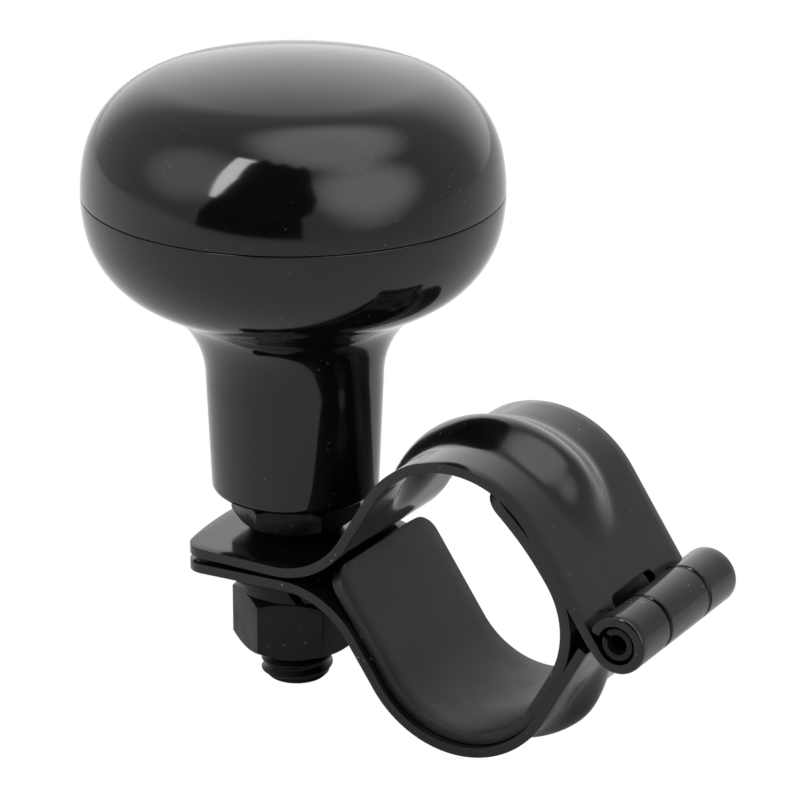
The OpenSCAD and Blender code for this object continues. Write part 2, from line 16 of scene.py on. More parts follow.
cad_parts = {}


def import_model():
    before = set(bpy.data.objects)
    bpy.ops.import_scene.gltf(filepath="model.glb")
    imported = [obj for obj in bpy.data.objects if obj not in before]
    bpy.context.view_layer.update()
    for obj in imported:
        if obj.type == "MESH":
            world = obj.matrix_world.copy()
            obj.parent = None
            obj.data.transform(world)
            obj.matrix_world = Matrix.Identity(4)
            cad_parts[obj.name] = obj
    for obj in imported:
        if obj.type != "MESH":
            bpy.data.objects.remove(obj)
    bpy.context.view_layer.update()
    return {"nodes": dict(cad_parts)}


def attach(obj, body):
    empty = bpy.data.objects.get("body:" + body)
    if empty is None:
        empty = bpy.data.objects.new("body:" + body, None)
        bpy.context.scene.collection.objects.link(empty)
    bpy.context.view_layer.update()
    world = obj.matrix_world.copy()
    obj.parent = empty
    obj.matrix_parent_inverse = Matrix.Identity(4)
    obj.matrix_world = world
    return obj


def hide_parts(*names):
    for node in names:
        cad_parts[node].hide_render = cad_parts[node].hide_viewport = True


MM = 0.001
LOG = logging.getLogger("spinner_knob")
Point = tuple[float, float]


# ---------------------------------------------------------------- plane geometry


def heading(angle: float) -> Vector:
    """Unit vector in the XZ plane.

    Args:
        angle: direction in degrees, 0 along +X and 90 along +Z.

    Returns:
        A two-component vector (x, z).
    """
    return Vector((math.cos(math.radians(angle)), math.sin(math.radians(angle))))


def left_of(angle: float) -> Vector:
    """Unit vector to the left of a heading in the XZ plane.

    Args:
        angle: the heading in degrees.

    Returns:
        A two-component vector (x, z).
    """
    return heading(angle + 90.0)


# ---------------------------------------------------------------- modelling tools


def deselect_all() -> None:
    """Leaves edit mode and clears the selection."""
    if bpy.context.object is not None and bpy.context.object.mode != "OBJECT":
        bpy.ops.object.mode_set(mode="OBJECT")
    bpy.ops.object.select_all(action="DESELECT")


def activate(obj: bpy.types.Object) -> None:
    """Makes one object the only selected and active one.

    Args:
        obj: the object to work on.
    """
    deselect_all()
    obj.select_set(True)
    bpy.context.view_layer.objects.active = obj


def apply_modifier(obj: bpy.types.Object, kind: str, **settings: Any) -> None:
    """Adds a modifier, sets it and applies it.

    Args:
        obj: the object to change.
        kind: Blender's name of the modifier type.
        **settings: properties of the modifier.
    """
    activate(obj)
    modifier = obj.modifiers.new(kind.lower(), kind)
    for key, value in settings.items():
        setattr(modifier, key, value)
    bpy.ops.object.modifier_apply(modifier=modifier.name)


def combine(obj: bpy.types.Object, other: bpy.types.Object, operation: str) -> None:
    """Joins, cuts or intersects an object with another one, which is then removed.

    Args:
        obj: the object that is kept.
        other: the tool, removed afterwards.
        operation: UNION, DIFFERENCE or INTERSECT.
    """
    apply_modifier(obj, "BOOLEAN", object=other, operation=operation, solver="EXACT")
    bpy.data.objects.remove(other, do_unlink=True)


def soften(obj: bpy.types.Object, width: float, segments: int = 2, angle: float = 40.0, smooth: float = 35.0) -> None:
    """Rounds the sharp edges and shades the faces smooth between them.

    Args:
        obj: the object to finish.
        width: bevel width in millimetres.
        segments: steps of the rounding.
        angle: edges sharper than this, in degrees, are rounded.
        smooth: faces that meet at less than this, in degrees, are shaded as one.
    """
    apply_modifier(
        obj,
        "BEVEL",
        width=width * MM,
        segments=segments,
        limit_method="ANGLE",
        angle_limit=math.radians(angle),
        use_clamp_overlap=True,
        miter_outer="MITER_ARC",
    )
    activate(obj)
    bpy.ops.object.shade_smooth_by_angle(angle=math.radians(smooth), keep_sharp_edges=False)


def box_tool(low: Sequence[float], high: Sequence[float], name: str = "tool") -> bpy.types.Object:
    """A box used to cut other pieces.

    Args:
        low: lowest corner in millimetres.
        high: highest corner in millimetres.
        name: name of the object.

    Returns:
        The box, with its place in its vertices.
    """
    deselect_all()
    bpy.ops.mesh.primitive_cube_add(size=1)
    obj = bpy.context.object
    obj.name = name
    size = [(b - a) * MM for a, b in zip(low, high)]
    centre = [(a + b) / 2 * MM for a, b in zip(low, high)]
    obj.data.transform(Matrix.Translation(centre) @ Matrix.Diagonal((*size, 1.0)))
    return obj


class Pen:
    """Draws a mesh from one point, or from a row of points along Y, that is pulled along lines and
    turned round centres in the XZ plane."""

    def __init__(self, name: str, start: Point, row: Sequence[float] = (0.0,)) -> None:
        """Puts down the first point or row.

        Args:
            name: name of the new object.
            start: its x and z in millimetres.
            row: the y of each of its points.
        """
        deselect_all()
        bpy.ops.mesh.primitive_plane_add(size=MM)
        self.obj: bpy.types.Object = bpy.context.object
        self.obj.name = name
        self.at = Vector(start)
        bpy.ops.object.mode_set(mode="EDIT")
        bpy.ops.mesh.select_mode(type="VERT")
        bpy.ops.mesh.select_all(action="SELECT")
        bpy.ops.mesh.merge(type="CENTER")
        bpy.ops.mesh.select_all(action="SELECT")
        bpy.ops.transform.translate(value=(start[0] * MM, row[0] * MM, start[1] * MM))
        for y0, y1 in zip(row, row[1:]):
            bpy.ops.mesh.extrude_region_move(TRANSFORM_OT_translate={"value": (0, (y1 - y0) * MM, 0)})
        bpy.ops.mesh.select_all(action="SELECT")

    def line(self, to: Sequence[float], steps: int = 1) -> "Pen":
        """Pulls the row straight on.

        Args:
            to: x and z of the far end in millimetres.
            steps: number of equal pulls.

        Returns:
            The pen, so that calls can follow each other.
        """
        step = (Vector(to) - self.at) / steps
        for _ in range(steps):
            bpy.ops.mesh.extrude_region_move(TRANSFORM_OT_translate={"value": (step.x * MM, 0, step.y * MM)})
        self.at = Vector(to)
        return self

    def arc(self, centre: Sequence[float], sweep: float, steps: int) -> "Pen":
        """Turns the row round a centre.

        Args:
            centre: x and z in millimetres.
            sweep: degrees, positive to the left (from +X towards +Z).
            steps: number of turns that make up the sweep.

        Returns:
            The pen, so that calls can follow each other.
        """
        bpy.ops.mesh.spin(
            steps=steps,
            angle=math.radians(abs(sweep)),
            center=(centre[0] * MM, 0, centre[1] * MM),
            axis=(0, 1 if sweep > 0 else -1, 0),
        )
        arm = self.at - Vector(centre)
        c, s = math.cos(math.radians(sweep)), math.sin(math.radians(sweep))
        self.at = Vector(centre) + Vector((arm.x * c - arm.y * s, arm.x * s + arm.y * c))
        return self

    def close(self) -> "Pen":
        """Joins the last point to the first one and welds what lies together.

        Returns:
            The pen, so that calls can follow each other.
        """
        bpy.ops.mesh.select_all(action="SELECT")
        bpy.ops.mesh.remove_doubles(threshold=1e-7)
        return self

    def revolve(self, axis_x: float, steps: int) -> bpy.types.Object:
        """Spins the drawn profile right round a vertical axis.

        Args:
            axis_x: x of the axis in millimetres.
            steps: number of steps round.

        Returns:
            The finished object.
        """
        bpy.ops.mesh.select_all(action="SELECT")
        bpy.ops.mesh.spin(steps=steps, angle=2 * math.pi, center=(axis_x * MM, 0, 0), axis=(0, 0, 1))
        return self.done()

    def fill_and_pull(self, vector: Sequence[float]) -> bpy.types.Object:
        """Fills the closed outline and pulls it into a solid.

        Args:
            vector: the pull in millimetres.

        Returns:
            The finished object.
        """
        self.close()
        bpy.ops.mesh.select_all(action="SELECT")
        bpy.ops.mesh.edge_face_add()
        bpy.ops.mesh.extrude_region_move(TRANSFORM_OT_translate={"value": tuple(v * MM for v in vector)})
        return self.done()

    def done(self) -> bpy.types.Object:
        """Welds the mesh, turns its faces outward and leaves edit mode.

        Returns:
            The finished object.
        """
        bpy.ops.mesh.select_all(action="SELECT")
        bpy.ops.mesh.remove_doubles(threshold=1e-7)
        bpy.ops.mesh.normals_make_consistent(inside=False)
        bpy.ops.object.mode_set(mode="OBJECT")
        return self.obj


def lathe(name: str, axis_x: float, base_z: float, profile: Sequence[Point], steps: int = 96) -> bpy.types.Object:
    """A turned piece from a closed profile of straight lines.

    Args:
        name: name of the object.
        axis_x: x of the vertical axis in millimetres.
        base_z: height that the profile's heights count from.
        profile: (radius, height) points round the section.
        steps: number of steps round.

    Returns:
        The turned object.
    """
    points = [(axis_x + r, base_z + z) for r, z in profile]
    pen = Pen(name, points[0])
    for p in points[1:]:
        pen.line(p)
    if profile[0][0] > 1e-9 or profile[-1][0] > 1e-9:
        pen.line(points[0])
    pen.close()
    return pen.revolve(axis_x, steps)


# ---------------------------------------------------------------- finishes


def srgb(code: str) -> tuple[float, float, float, float]:
    """Turns an sRGB hex colour into the linear values that a shader takes.

    Args:
        code: six hex digits with or without a leading #.

    Returns:
        Linear red, green and blue, and alpha 1.
    """
    values = [int(code.lstrip("#")[i : i + 2], 16) / 255 for i in (0, 2, 4)]
    linear = [v / 12.92 if v <= 0.04045 else ((v + 0.055) / 1.055) ** 2.4 for v in values]
    return (linear[0], linear[1], linear[2], 1.0)


class Graph:
    """The node tree of one material, or of the sky."""

    def __init__(self, name: str, sky: bool = False) -> None:
        """Starts an empty tree.

        Args:
            name: name of the material or sky.
            sky: makes a world instead of a material.
        """
        self.owner = (bpy.data.worlds if sky else bpy.data.materials).new(name)
        self.output = "OutputWorld" if sky else "OutputMaterial"
        self.owner.use_nodes = True
        self.tree = self.owner.node_tree
        self.tree.nodes.clear()

    def add(self, kind: str, inputs: Optional[dict[Any, Any]] = None, **properties: Any) -> bpy.types.Node:
        """Adds a node, sets its properties and fills or links its inputs.

        Args:
            kind: Blender's name of the node type, without the ShaderNode in front.
            inputs: input name or number to a value or to another node's output socket.
            **properties: properties of the node.

        Returns:
            The new node.
        """
        node = self.tree.nodes.new("ShaderNode" + kind)
        for key, value in properties.items():
            setattr(node, key, value)
        for key, value in (inputs or {}).items():
            socket = node.inputs[key]
            if isinstance(value, bpy.types.NodeSocket):
                self.tree.links.new(value, socket)
            else:
                socket.default_value = value
        return node

    def noise(self, place: bpy.types.NodeSocket, size: float, detail: float = 2.0, rough: float = 0.5) -> bpy.types.NodeSocket:
        """Noise whose blobs are about size millimetres wide.

        Args:
            place: the coordinates it lies in.
            size: width of a blob in millimetres.
            detail: octaves.
            rough: weight of the finer octaves.

        Returns:
            The noise's value socket, 0 to 1.
        """
        made = self.add("TexNoise", {"Vector": place, "Scale": 1000.0 / size, "Detail": detail, "Roughness": rough})
        return made.outputs["Fac"]

    def ramp(self, value: bpy.types.NodeSocket, low: float, high: float, out_low: float = 0.0, out_high: float = 1.0) -> bpy.types.NodeSocket:
        """Maps a value's range onto another one, clamped.

        Args:
            value: the value to map.
            low: input that gives out_low.
            high: input that gives out_high.
            out_low: lower result.
            out_high: upper result.

        Returns:
            The mapped value's socket.
        """
        made = self.add("MapRange", {0: value, 1: low, 2: high, 3: out_low, 4: out_high})
        return made.outputs[0]

    def maths(self, operation: str, a: Any, b: Any = 0.0) -> bpy.types.NodeSocket:
        """A calculation on one or two values.

        Args:
            operation: Blender's name of the calculation.
            a: first value or socket.
            b: second value or socket.

        Returns:
            The result's socket.
        """
        return self.add("Math", {0: a, 1: b}, operation=operation).outputs[0]

    def blend(self, share: Any, first: Any, second: Any) -> bpy.types.NodeSocket:
        """Mixes two colours.

        Args:
            share: how much of the second one, 0 to 1.
            first: colour or socket at share 0.
            second: colour or socket at share 1.

        Returns:
            The mixed colour's socket.
        """
        made = self.add("Mix", {0: share, 6: first, 7: second}, data_type="RGBA")
        return made.outputs[2]

    def bump(self, height: bpy.types.NodeSocket, depth: float, strength: float = 1.0, normal: Optional[bpy.types.NodeSocket] = None) -> bpy.types.NodeSocket:
        """Bends the surface normal by a height.

        Args:
            height: the height, 0 to 1.
            depth: what a height of 1 measures, in millimetres.
            strength: share of the effect.
            normal: a normal to start from.

        Returns:
            The bent normal's socket.
        """
        inputs: dict[Any, Any] = {"Height": height, "Distance": depth * MM, "Strength": strength}
        if normal is not None:
            inputs["Normal"] = normal
        return self.add("Bump", inputs).outputs["Normal"]

    def finish(self, surface: bpy.types.NodeSocket) -> Any:
        """Links the surface to the output.

        Args:
            surface: the shader socket.

        Returns:
            The finished material or world.
        """
        self.add(self.output, {0: surface})
        return self.owner


@dataclass(frozen=True)
class Finish:
    """A surface finish. Subclasses say how its nodes are put together."""

    name: str
    colour: str
    roughness: float

    def build(self) -> bpy.types.Material:
        """Makes the material.

        Returns:
            The finished material.
        """
        raise NotImplementedError


@dataclass(frozen=True)
class GlossPlastic(Finish):
    """Moulded plastic with a polished skin: faint unevenness, patchy gloss and a little dust."""

    waviness: float = 0.012
    dust_colour: str = "b8b8b8"

    def build(self) -> bpy.types.Material:
        """Makes the material.

        Returns:
            The finished material.
        """
        g = Graph(self.name)
        place = g.add("TexCoord").outputs["Object"]
        skin = g.noise(place, 5.0, 1.0)
        haze = g.noise(place, 9.0, 3.0, 0.6)
        speck = g.ramp(g.noise(place, 0.28, 0.0), 0.815, 0.85)
        scatter = g.ramp(g.noise(place, 6.0, 2.0), 0.52, 0.66)
        dust = g.maths("MULTIPLY", speck, scatter)
        rough = g.ramp(haze, 0.3, 0.75, self.roughness, self.roughness + 0.05)
        rough = g.maths("ADD", rough, g.maths("MULTIPLY", dust, 0.5))
        surface = g.add(
            "BsdfPrincipled",
            {
                "Base Color": g.blend(g.maths("MULTIPLY", dust, 0.35), srgb(self.colour), srgb(self.dust_colour)),
                "Roughness": rough,
                "IOR": 1.5,
                "Normal": g.bump(skin, self.waviness),
            },
        )
        return g.finish(surface.outputs[0])


@dataclass(frozen=True)
class PaintedSteel(Finish):
    """Gloss paint on sheet steel: orange peel, dull patches and small chips."""

    chip_colour: str = "9a9a98"
    peel: float = 0.006

    def build(self) -> bpy.types.Material:
        """Makes the material.

        Returns:
            The finished material.
        """
        g = Graph(self.name)
        place = g.add("TexCoord").outputs["Object"]
        peel = g.noise(place, 1.1, 2.0)
        wave = g.noise(place, 7.0, 1.0)
        haze = g.noise(place, 4.0, 4.0, 0.65)
        chips = g.maths("MULTIPLY", g.ramp(g.noise(place, 0.5, 3.0), 0.70, 0.73), g.ramp(g.noise(place, 5.0, 1.0), 0.5, 0.6))
        rough = g.ramp(haze, 0.35, 0.7, self.roughness, self.roughness + 0.12)
        rough = g.maths("MAXIMUM", rough, g.maths("MULTIPLY", chips, 0.45))
        normal = g.bump(peel, self.peel)
        normal = g.bump(wave, 0.04, normal=normal)
        surface = g.add(
            "BsdfPrincipled",
            {
                "Base Color": g.blend(chips, srgb(self.colour), srgb(self.chip_colour)),
                "Roughness": rough,
                "IOR": 1.5,
                "Normal": normal,
            },
        )
        return g.finish(surface.outputs[0])


@dataclass(frozen=True)
class OxideSteel(Finish):
    """Blackened machined steel: satin, slightly blotchy, with fine turning marks."""

    bare_colour: str = "55565a"

    def build(self) -> bpy.types.Material:
        """Makes the material.

        Returns:
            The finished material.
        """
        g = Graph(self.name)
        place = g.add("TexCoord").outputs["Object"]
        blotch = g.noise(place, 2.5, 4.0, 0.6)
        grain = g.noise(place, 0.25, 3.0)
        bare = g.ramp(g.noise(place, 0.7, 3.0), 0.66, 0.74, 0.0, 0.6)
        surface = g.add(
            "BsdfPrincipled",
            {
                "Base Color": g.blend(bare, srgb(self.colour), srgb(self.bare_colour)),
                "Metallic": 0.55,
                "Roughness": g.ramp(blotch, 0.3, 0.7, self.roughness - 0.06, self.roughness + 0.1),
                "IOR": 1.5,
                "Normal": g.bump(grain, 0.004),
            },
        )
        return g.finish(surface.outputs[0])


@dataclass(frozen=True)
class BrightMetal(Finish):
    """Ground steel or stamped brass inside the knob, with a film of grease."""

    def build(self) -> bpy.types.Material:
        """Makes the material.

        Returns:
            The finished material.
        """
        g = Graph(self.name)
        place = g.add("TexCoord").outputs["Object"]
        film = g.noise(place, 1.5, 3.0)
        grind = g.noise(g.add("Mapping", {"Vector": place, "Scale": (1.0, 1.0, 14.0)}).outputs[0], 1.2, 3.0)
        surface = g.add(
            "BsdfPrincipled",
            {
                "Base Color": g.blend(g.ramp(film, 0.4, 0.7, 0.0, 0.35), srgb(self.colour), srgb("6b6660")),
                "Metallic": 1.0,
                "Roughness": g.ramp(film, 0.35, 0.65, self.roughness, self.roughness + 0.12),
                "Normal": g.bump(grind, 0.002),
            },
        )
        return g.finish(surface.outputs[0])


@dataclass(frozen=True)
class LinerRubber(Finish):
    """Black rubber: satin skin with fine pores, scuffs and a dusty bloom."""

    bloom_colour: str = "2b2b2b"

    def build(self) -> bpy.types.Material:
        """Makes the material.

        Returns:
            The finished material.
        """
        g = Graph(self.name)
        place = g.add("TexCoord").outputs["Object"]
        pores = g.noise(place, 0.35, 4.0, 0.6)
        cloud = g.noise(place, 6.0, 4.0, 0.6)
        lint = g.ramp(g.noise(place, 0.4, 1.0), 0.76, 0.80)
        colour = g.blend(g.ramp(cloud, 0.35, 0.75, 0.0, 0.6), srgb(self.colour), srgb(self.bloom_colour))
        surface = g.add(
            "BsdfPrincipled",
            {
                "Base Color": g.blend(g.maths("MULTIPLY", lint, 0.4), colour, srgb("8d8d8a")),
                "Roughness": g.ramp(cloud, 0.3, 0.7, self.roughness, self.roughness + 0.15),
                "IOR": 1.5,
                "Normal": g.bump(pores, 0.012),
            },
        )
        return g.finish(surface.outputs[0])


@dataclass(frozen=True)
class Backdrop(Finish):
    """The table or a card of the studio, which the camera itself sees as plain white."""

    def build(self) -> bpy.types.Material:
        """Makes the material.

        Returns:
            The finished material.
        """
        g = Graph(self.name)
        plain = g.add("BsdfDiffuse", {"Color": srgb(self.colour), "Roughness": self.roughness})
        white = g.add("Emission", {"Color": (1, 1, 1, 1), "Strength": 1.0})
        seen = g.add("LightPath").outputs["Is Camera Ray"]
        return g.finish(g.add("MixShader", {0: seen, 1: plain.outputs[0], 2: white.outputs[0]}).outputs[0])


class Slot(Enum):
    """The record's material slots."""

    PLASTIC = "gloss_black_plastic"
    PAINT = "black_painted_steel"
    OXIDE = "black_oxide_steel"
    BEARING = "bearing_steel"
    BRASS = "cage_brass"
    RUBBER = "black_rubber"


FINISHES: dict[Slot, Finish] = {
    Slot.PLASTIC: GlossPlastic("gloss_plastic", "0b0b0c", 0.07),
    Slot.PAINT: PaintedSteel("painted_steel", "0b0b0c", 0.09),
    Slot.OXIDE: OxideSteel("oxide_steel", "19191b", 0.36),
    Slot.BEARING: BrightMetal("bearing_steel", "b4b5b8", 0.18),
    Slot.BRASS: BrightMetal("cage_brass", "b08d4f", 0.3),
    Slot.RUBBER: LinerRubber("liner_rubber", "141415", 0.38),
}


class Wardrobe:
    """Keeps one material per slot and dresses pieces in it."""

    def __init__(self) -> None:
        """Builds every finish once."""
        self.materials = {s: f.build() for s, f in FINISHES.items()}

    def dress(self, obj: bpy.types.Object, slot: Slot) -> None:
        """Gives an object one finish.

        Args:
            obj: the object.
            slot: the record's slot it takes its finish from.
        """
        obj.data.materials.clear()
        obj.data.materials.append(self.materials[slot])


# ---------------------------------------------------------------- sub-assemblies


@dataclass
class Piece:
    """A sub-assembly of the part. Subclasses model its pieces."""

    wardrobe: Wardrobe

    def build(self) -> list[bpy.types.Object]:
        """Models the pieces.

        Returns:
            The new objects.
        """
        raise NotImplementedError

    def settle(self, obj: bpy.types.Object, slot: Slot, body: str, *nodes: str) -> bpy.types.Object:
        """Dresses a finished piece and ties it to the frame.

        Args:
            obj: the piece.
            slot: its finish.
            body: the body it moves with.
            *nodes: the nodes it stands for.

        Returns:
            The piece.
        """
        self.wardrobe.dress(obj, slot)
        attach(obj, body)
        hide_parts(*nodes)
        LOG.info("%s: %d faces", obj.name, len(obj.data.polygons))
        return obj


STUD_X = -26.2
FLANGE_Z = 4.46
HEX_AF = 12.3
HEX_TURN = 25.0
HEX_FACE_R = 5.8
HEX_BEVEL = 28.0


@dataclass
class Knob(Piece):
    """The two moulded shells of the knob. Radii and heights count from the stud and the flange."""

    radius: float = 22.5
    seam: float = 38.6
    shell: float = 2.4
    cap_side_r: float = 20.5
    bowl_side_r: float = 17.8
    side_sweep: float = 11.3
    shoulder_r: float = 10.85
    dome_slope: float = 76.2
    bowl_slope: float = 60.8
    fillet_r: float = 10.0
    neck_top_r: float = 9.6
    neck_r: float = 9.1
    edge_r: float = 0.8
    gap: float = 4.9
    groove: float = 0.1
    seam_edge: float = 0.07
    spigot_depth: float = 3.2
    spigot_t: float = 1.6
    spigot_clear: float = 0.12
    bore_r: float = 8.02
    steps: int = 192

    def centre(self, r: float, h: float) -> Vector:
        """Turns a radius and height into x and z.

        Args:
            r: distance from the stud's axis.
            h: height above the flange.

        Returns:
            The place in the XZ plane.
        """
        return Vector((STUD_X + r, FLANGE_Z + h))

    def cap(self) -> bpy.types.Object:
        """Models the upper shell.

        Returns:
            The shell.
        """
        side_r, bowl_r = self.cap_side_r, self.bowl_side_r - self.shell - self.spigot_clear
        side = self.centre(self.radius - side_r, self.seam)
        shoulder = side + (side_r - self.shoulder_r) * heading(self.side_sweep)
        dome_r = self.shoulder_r + (shoulder.x - STUD_X) / math.cos(math.radians(self.dome_slope))
        dome = shoulder + (self.shoulder_r - dome_r) * heading(self.dome_slope)
        half, soft = self.groove / 2, self.seam_edge
        bowl = self.centre(self.radius - self.bowl_side_r, self.seam)
        foot_sweep = math.degrees(math.asin(self.spigot_depth / bowl_r))
        top_sweep = math.degrees(math.asin(half / bowl_r))
        foot = bowl + bowl_r * heading(-foot_sweep)
        pen = Pen("knob_cap_shell", bowl + bowl_r * heading(top_sweep))
        pen.line(self.centre(self.radius - soft, self.seam + half), 2)
        pen.arc(self.centre(self.radius - soft, self.seam + half + soft), 90, 4)
        first = math.degrees(math.asin((half + soft) / side_r))
        pen.line(side + side_r * heading(first))
        pen.arc(side, self.side_sweep - first, 6)
        pen.arc(shoulder, self.dome_slope - self.side_sweep, 28)
        pen.arc(dome, 90 - self.dome_slope, 12)
        pen.line(dome + (dome_r - self.shell) * heading(90))
        pen.arc(dome, self.dome_slope - 90, 8)
        pen.arc(shoulder, self.side_sweep - self.dome_slope, 14)
        pen.line((foot.x - self.spigot_t, FLANGE_Z + self.seam + 2.4), 2)
        pen.line((foot.x - self.spigot_t, foot.y), 2)
        pen.line(foot)
        pen.arc(bowl, foot_sweep + top_sweep, 5)
        pen.close()
        return pen.revolve(STUD_X, self.steps)

    def body(self) -> bpy.types.Object:
        """Models the lower shell with its neck.

        Returns:
            The shell.
        """
        side_r, slope = self.bowl_side_r, self.bowl_slope
        side = self.centre(self.radius - side_r, self.seam)
        shoulder = side + (side_r - self.shoulder_r) * heading(-self.side_sweep)
        tangent = shoulder + (self.shoulder_r + self.fillet_r) * heading(-slope)
        flank = (tangent.x - STUD_X - self.neck_top_r - self.fillet_r) / math.sin(math.radians(slope))
        fillet = tangent - flank * left_of(-slope)
        half, soft = self.groove / 2, self.seam_edge
        floor_h, lip_r, lip_t = 26.9, 7.2, 0.6
        pen = Pen("knob_body_shell", self.centre(self.radius - self.shell, self.seam - half))
        pen.line(self.centre(self.radius - soft, self.seam - half), 2)
        pen.arc(self.centre(self.radius - soft, self.seam - half - soft), -90, 4)
        first = math.degrees(math.asin((half + soft) / side_r))
        pen.line(side + side_r * heading(-first))
        pen.arc(side, -(self.side_sweep - first), 6)
        pen.arc(shoulder, self.side_sweep - slope, 24)
        pen.line(fillet + self.fillet_r * heading(180 - slope), 2)
        pen.arc(fillet, slope, 20)
        pen.line(self.centre(self.neck_r, self.gap + self.edge_r), 4)
        pen.arc(self.centre(self.neck_r - self.edge_r, self.gap + self.edge_r), -90, 6)
        pen.line(self.centre(lip_r, self.gap))
        pen.line(self.centre(lip_r, self.gap + lip_t))
        pen.line(self.centre(self.bore_r, self.gap + lip_t))
        pen.line(self.centre(self.bore_r, floor_h), 4)
        pen.line(self.centre(self.bore_r + 2, floor_h))
        pen.line(self.centre(self.bore_r + 3, floor_h - 0.6))
        pen.line(shoulder + (self.shoulder_r - self.shell) * heading(-slope), 2)
        pen.arc(shoulder, slope - self.side_sweep, 14)
        pen.line(self.centre(self.radius - self.shell, self.seam - half))
        pen.close()
        return pen.revolve(STUD_X, self.steps)

    def build(self) -> list[bpy.types.Object]:
        """Models both shells.

        Returns:
            The two shells.
        """
        made = []
        for shell, node in ((self.cap(), "knob_cap"), (self.body(), "knob_body")):
            activate(shell)
            bpy.ops.object.shade_smooth_by_angle(angle=math.radians(50), keep_sharp_edges=False)
            made.append(self.settle(shell, Slot.PLASTIC, "knob", node))
        return made


def hex_block(name: str, low: float, high: float, underside: Sequence[Point]) -> bpy.types.Object:
    """A hexagonal block with turned bevels on its corners.

    Args:
        name: name of the object.
        low: height that the underside's heights count from.
        high: height of its top.
        underside: (radius, height) points from the axis out to the lower bevel.

    Returns:
        The block.
    """
    corner, height = HEX_AF / math.sqrt(3), high - low
    deselect_all()
    bpy.ops.mesh.primitive_cylinder_add(vertices=6, radius=corner * MM, depth=(height + 1) * MM)
    block = bpy.context.object
    block.name = name
    place = Matrix.Translation((STUD_X * MM, 0, (low + high) / 2 * MM))
    block.data.transform(place @ Matrix.Rotation(math.radians(HEX_TURN + 30), 4, "Z"))
    outer = corner + 0.2
    bevel = (outer - HEX_FACE_R) * math.tan(math.radians(HEX_BEVEL))
    profile = [*underside, (outer, underside[-1][1] + bevel), (outer, height - bevel), (HEX_FACE_R, height), (0, height)]
    combine(block, lathe("envelope", STUD_X, low, profile, 144), "INTERSECT")
    return block


@dataclass
class Stud(Piece):
    """The threaded stud: hexagonal collar, bearing journal and rolled thread."""

    drop: float = 17.4
    journal_r: float = 3.98
    top: float = 29.9
    pitch: float = 1.25
    crest_r: float = 3.95
    root_r: float = 3.3
    collar_h: float = 4.5

    def thread(self) -> bpy.types.Object:
        """Models the threaded shank below the flange.

        Returns:
            The shank.
        """
        turns = int(self.drop / self.pitch) + 3
        low = FLANGE_Z - self.drop - 1.5 * self.pitch
        deselect_all()
        pen = Pen("stud_thread", (STUD_X + self.root_r, low))
        for r, h in ((self.root_r, 0.12), (self.crest_r, 0.555), (self.crest_r, 0.695), (self.root_r, 1.13), (self.root_r, 1.25)):
            pen.line((STUD_X + r, low + h))
        pen.done()
        shank = pen.obj
        shank.data.transform(Matrix.Translation((-STUD_X * MM, 0, 0)))
        apply_modifier(
            shank,
            "SCREW",
            axis="Z",
            angle=2 * math.pi,
            screw_offset=self.pitch * MM,
            iterations=turns,
            steps=48,
            render_steps=48,
            use_merge_vertices=True,
            merge_threshold=1e-6,
        )
        activate(shank)
        bpy.ops.object.mode_set(mode="EDIT")
        bpy.ops.mesh.select_all(action="SELECT")
        bpy.ops.mesh.remove_doubles(threshold=1e-7)
        bpy.ops.mesh.select_all(action="DESELECT")
        bpy.ops.mesh.select_non_manifold()
        bpy.ops.mesh.edge_face_add()
        bpy.ops.mesh.select_all(action="SELECT")
        bpy.ops.mesh.normals_make_consistent(inside=False)
        bpy.ops.object.mode_set(mode="OBJECT")
        shank.data.transform(Matrix.Translation((STUD_X * MM, 0, 0)))
        end = FLANGE_Z - self.drop
        envelope = lathe("envelope", STUD_X, end, [(0, 0), (self.crest_r - 0.8, 0), (self.crest_r + 0.3, 1.1), (self.crest_r + 0.3, self.drop + 0.3), (0, self.drop + 0.3)])
        combine(shank, envelope, "INTERSECT")
        return shank

    def build(self) -> list[bpy.types.Object]:
        """Models the whole stud as one piece.

        Returns:
            The stud.
        """
        foot = [(0, 0.1), (4.9, 0.1), (HEX_FACE_R, 1.3)]
        stud = hex_block("stud_turned", FLANGE_Z, FLANGE_Z + self.collar_h, foot)
        journal = lathe(
            "journal",
            STUD_X,
            FLANGE_Z,
            [
                (0, 0.3), (5, 0.3), (5, 5.5), (self.journal_r, 5.5), (self.journal_r, 27.5), (self.journal_r - 0.45, 27.5),
                (self.journal_r - 0.45, 28.35), (self.journal_r, 28.35), (self.journal_r, self.top - 0.5), (self.journal_r - 0.5, self.top), (0, self.top),
            ],
        )
        combine(stud, journal, "UNION")
        combine(stud, self.thread(), "UNION")
        soften(stud, 0.12, 2, 40, 30)
        return [self.settle(stud, Slot.OXIDE, "stud_and_upper_half", "stud")]


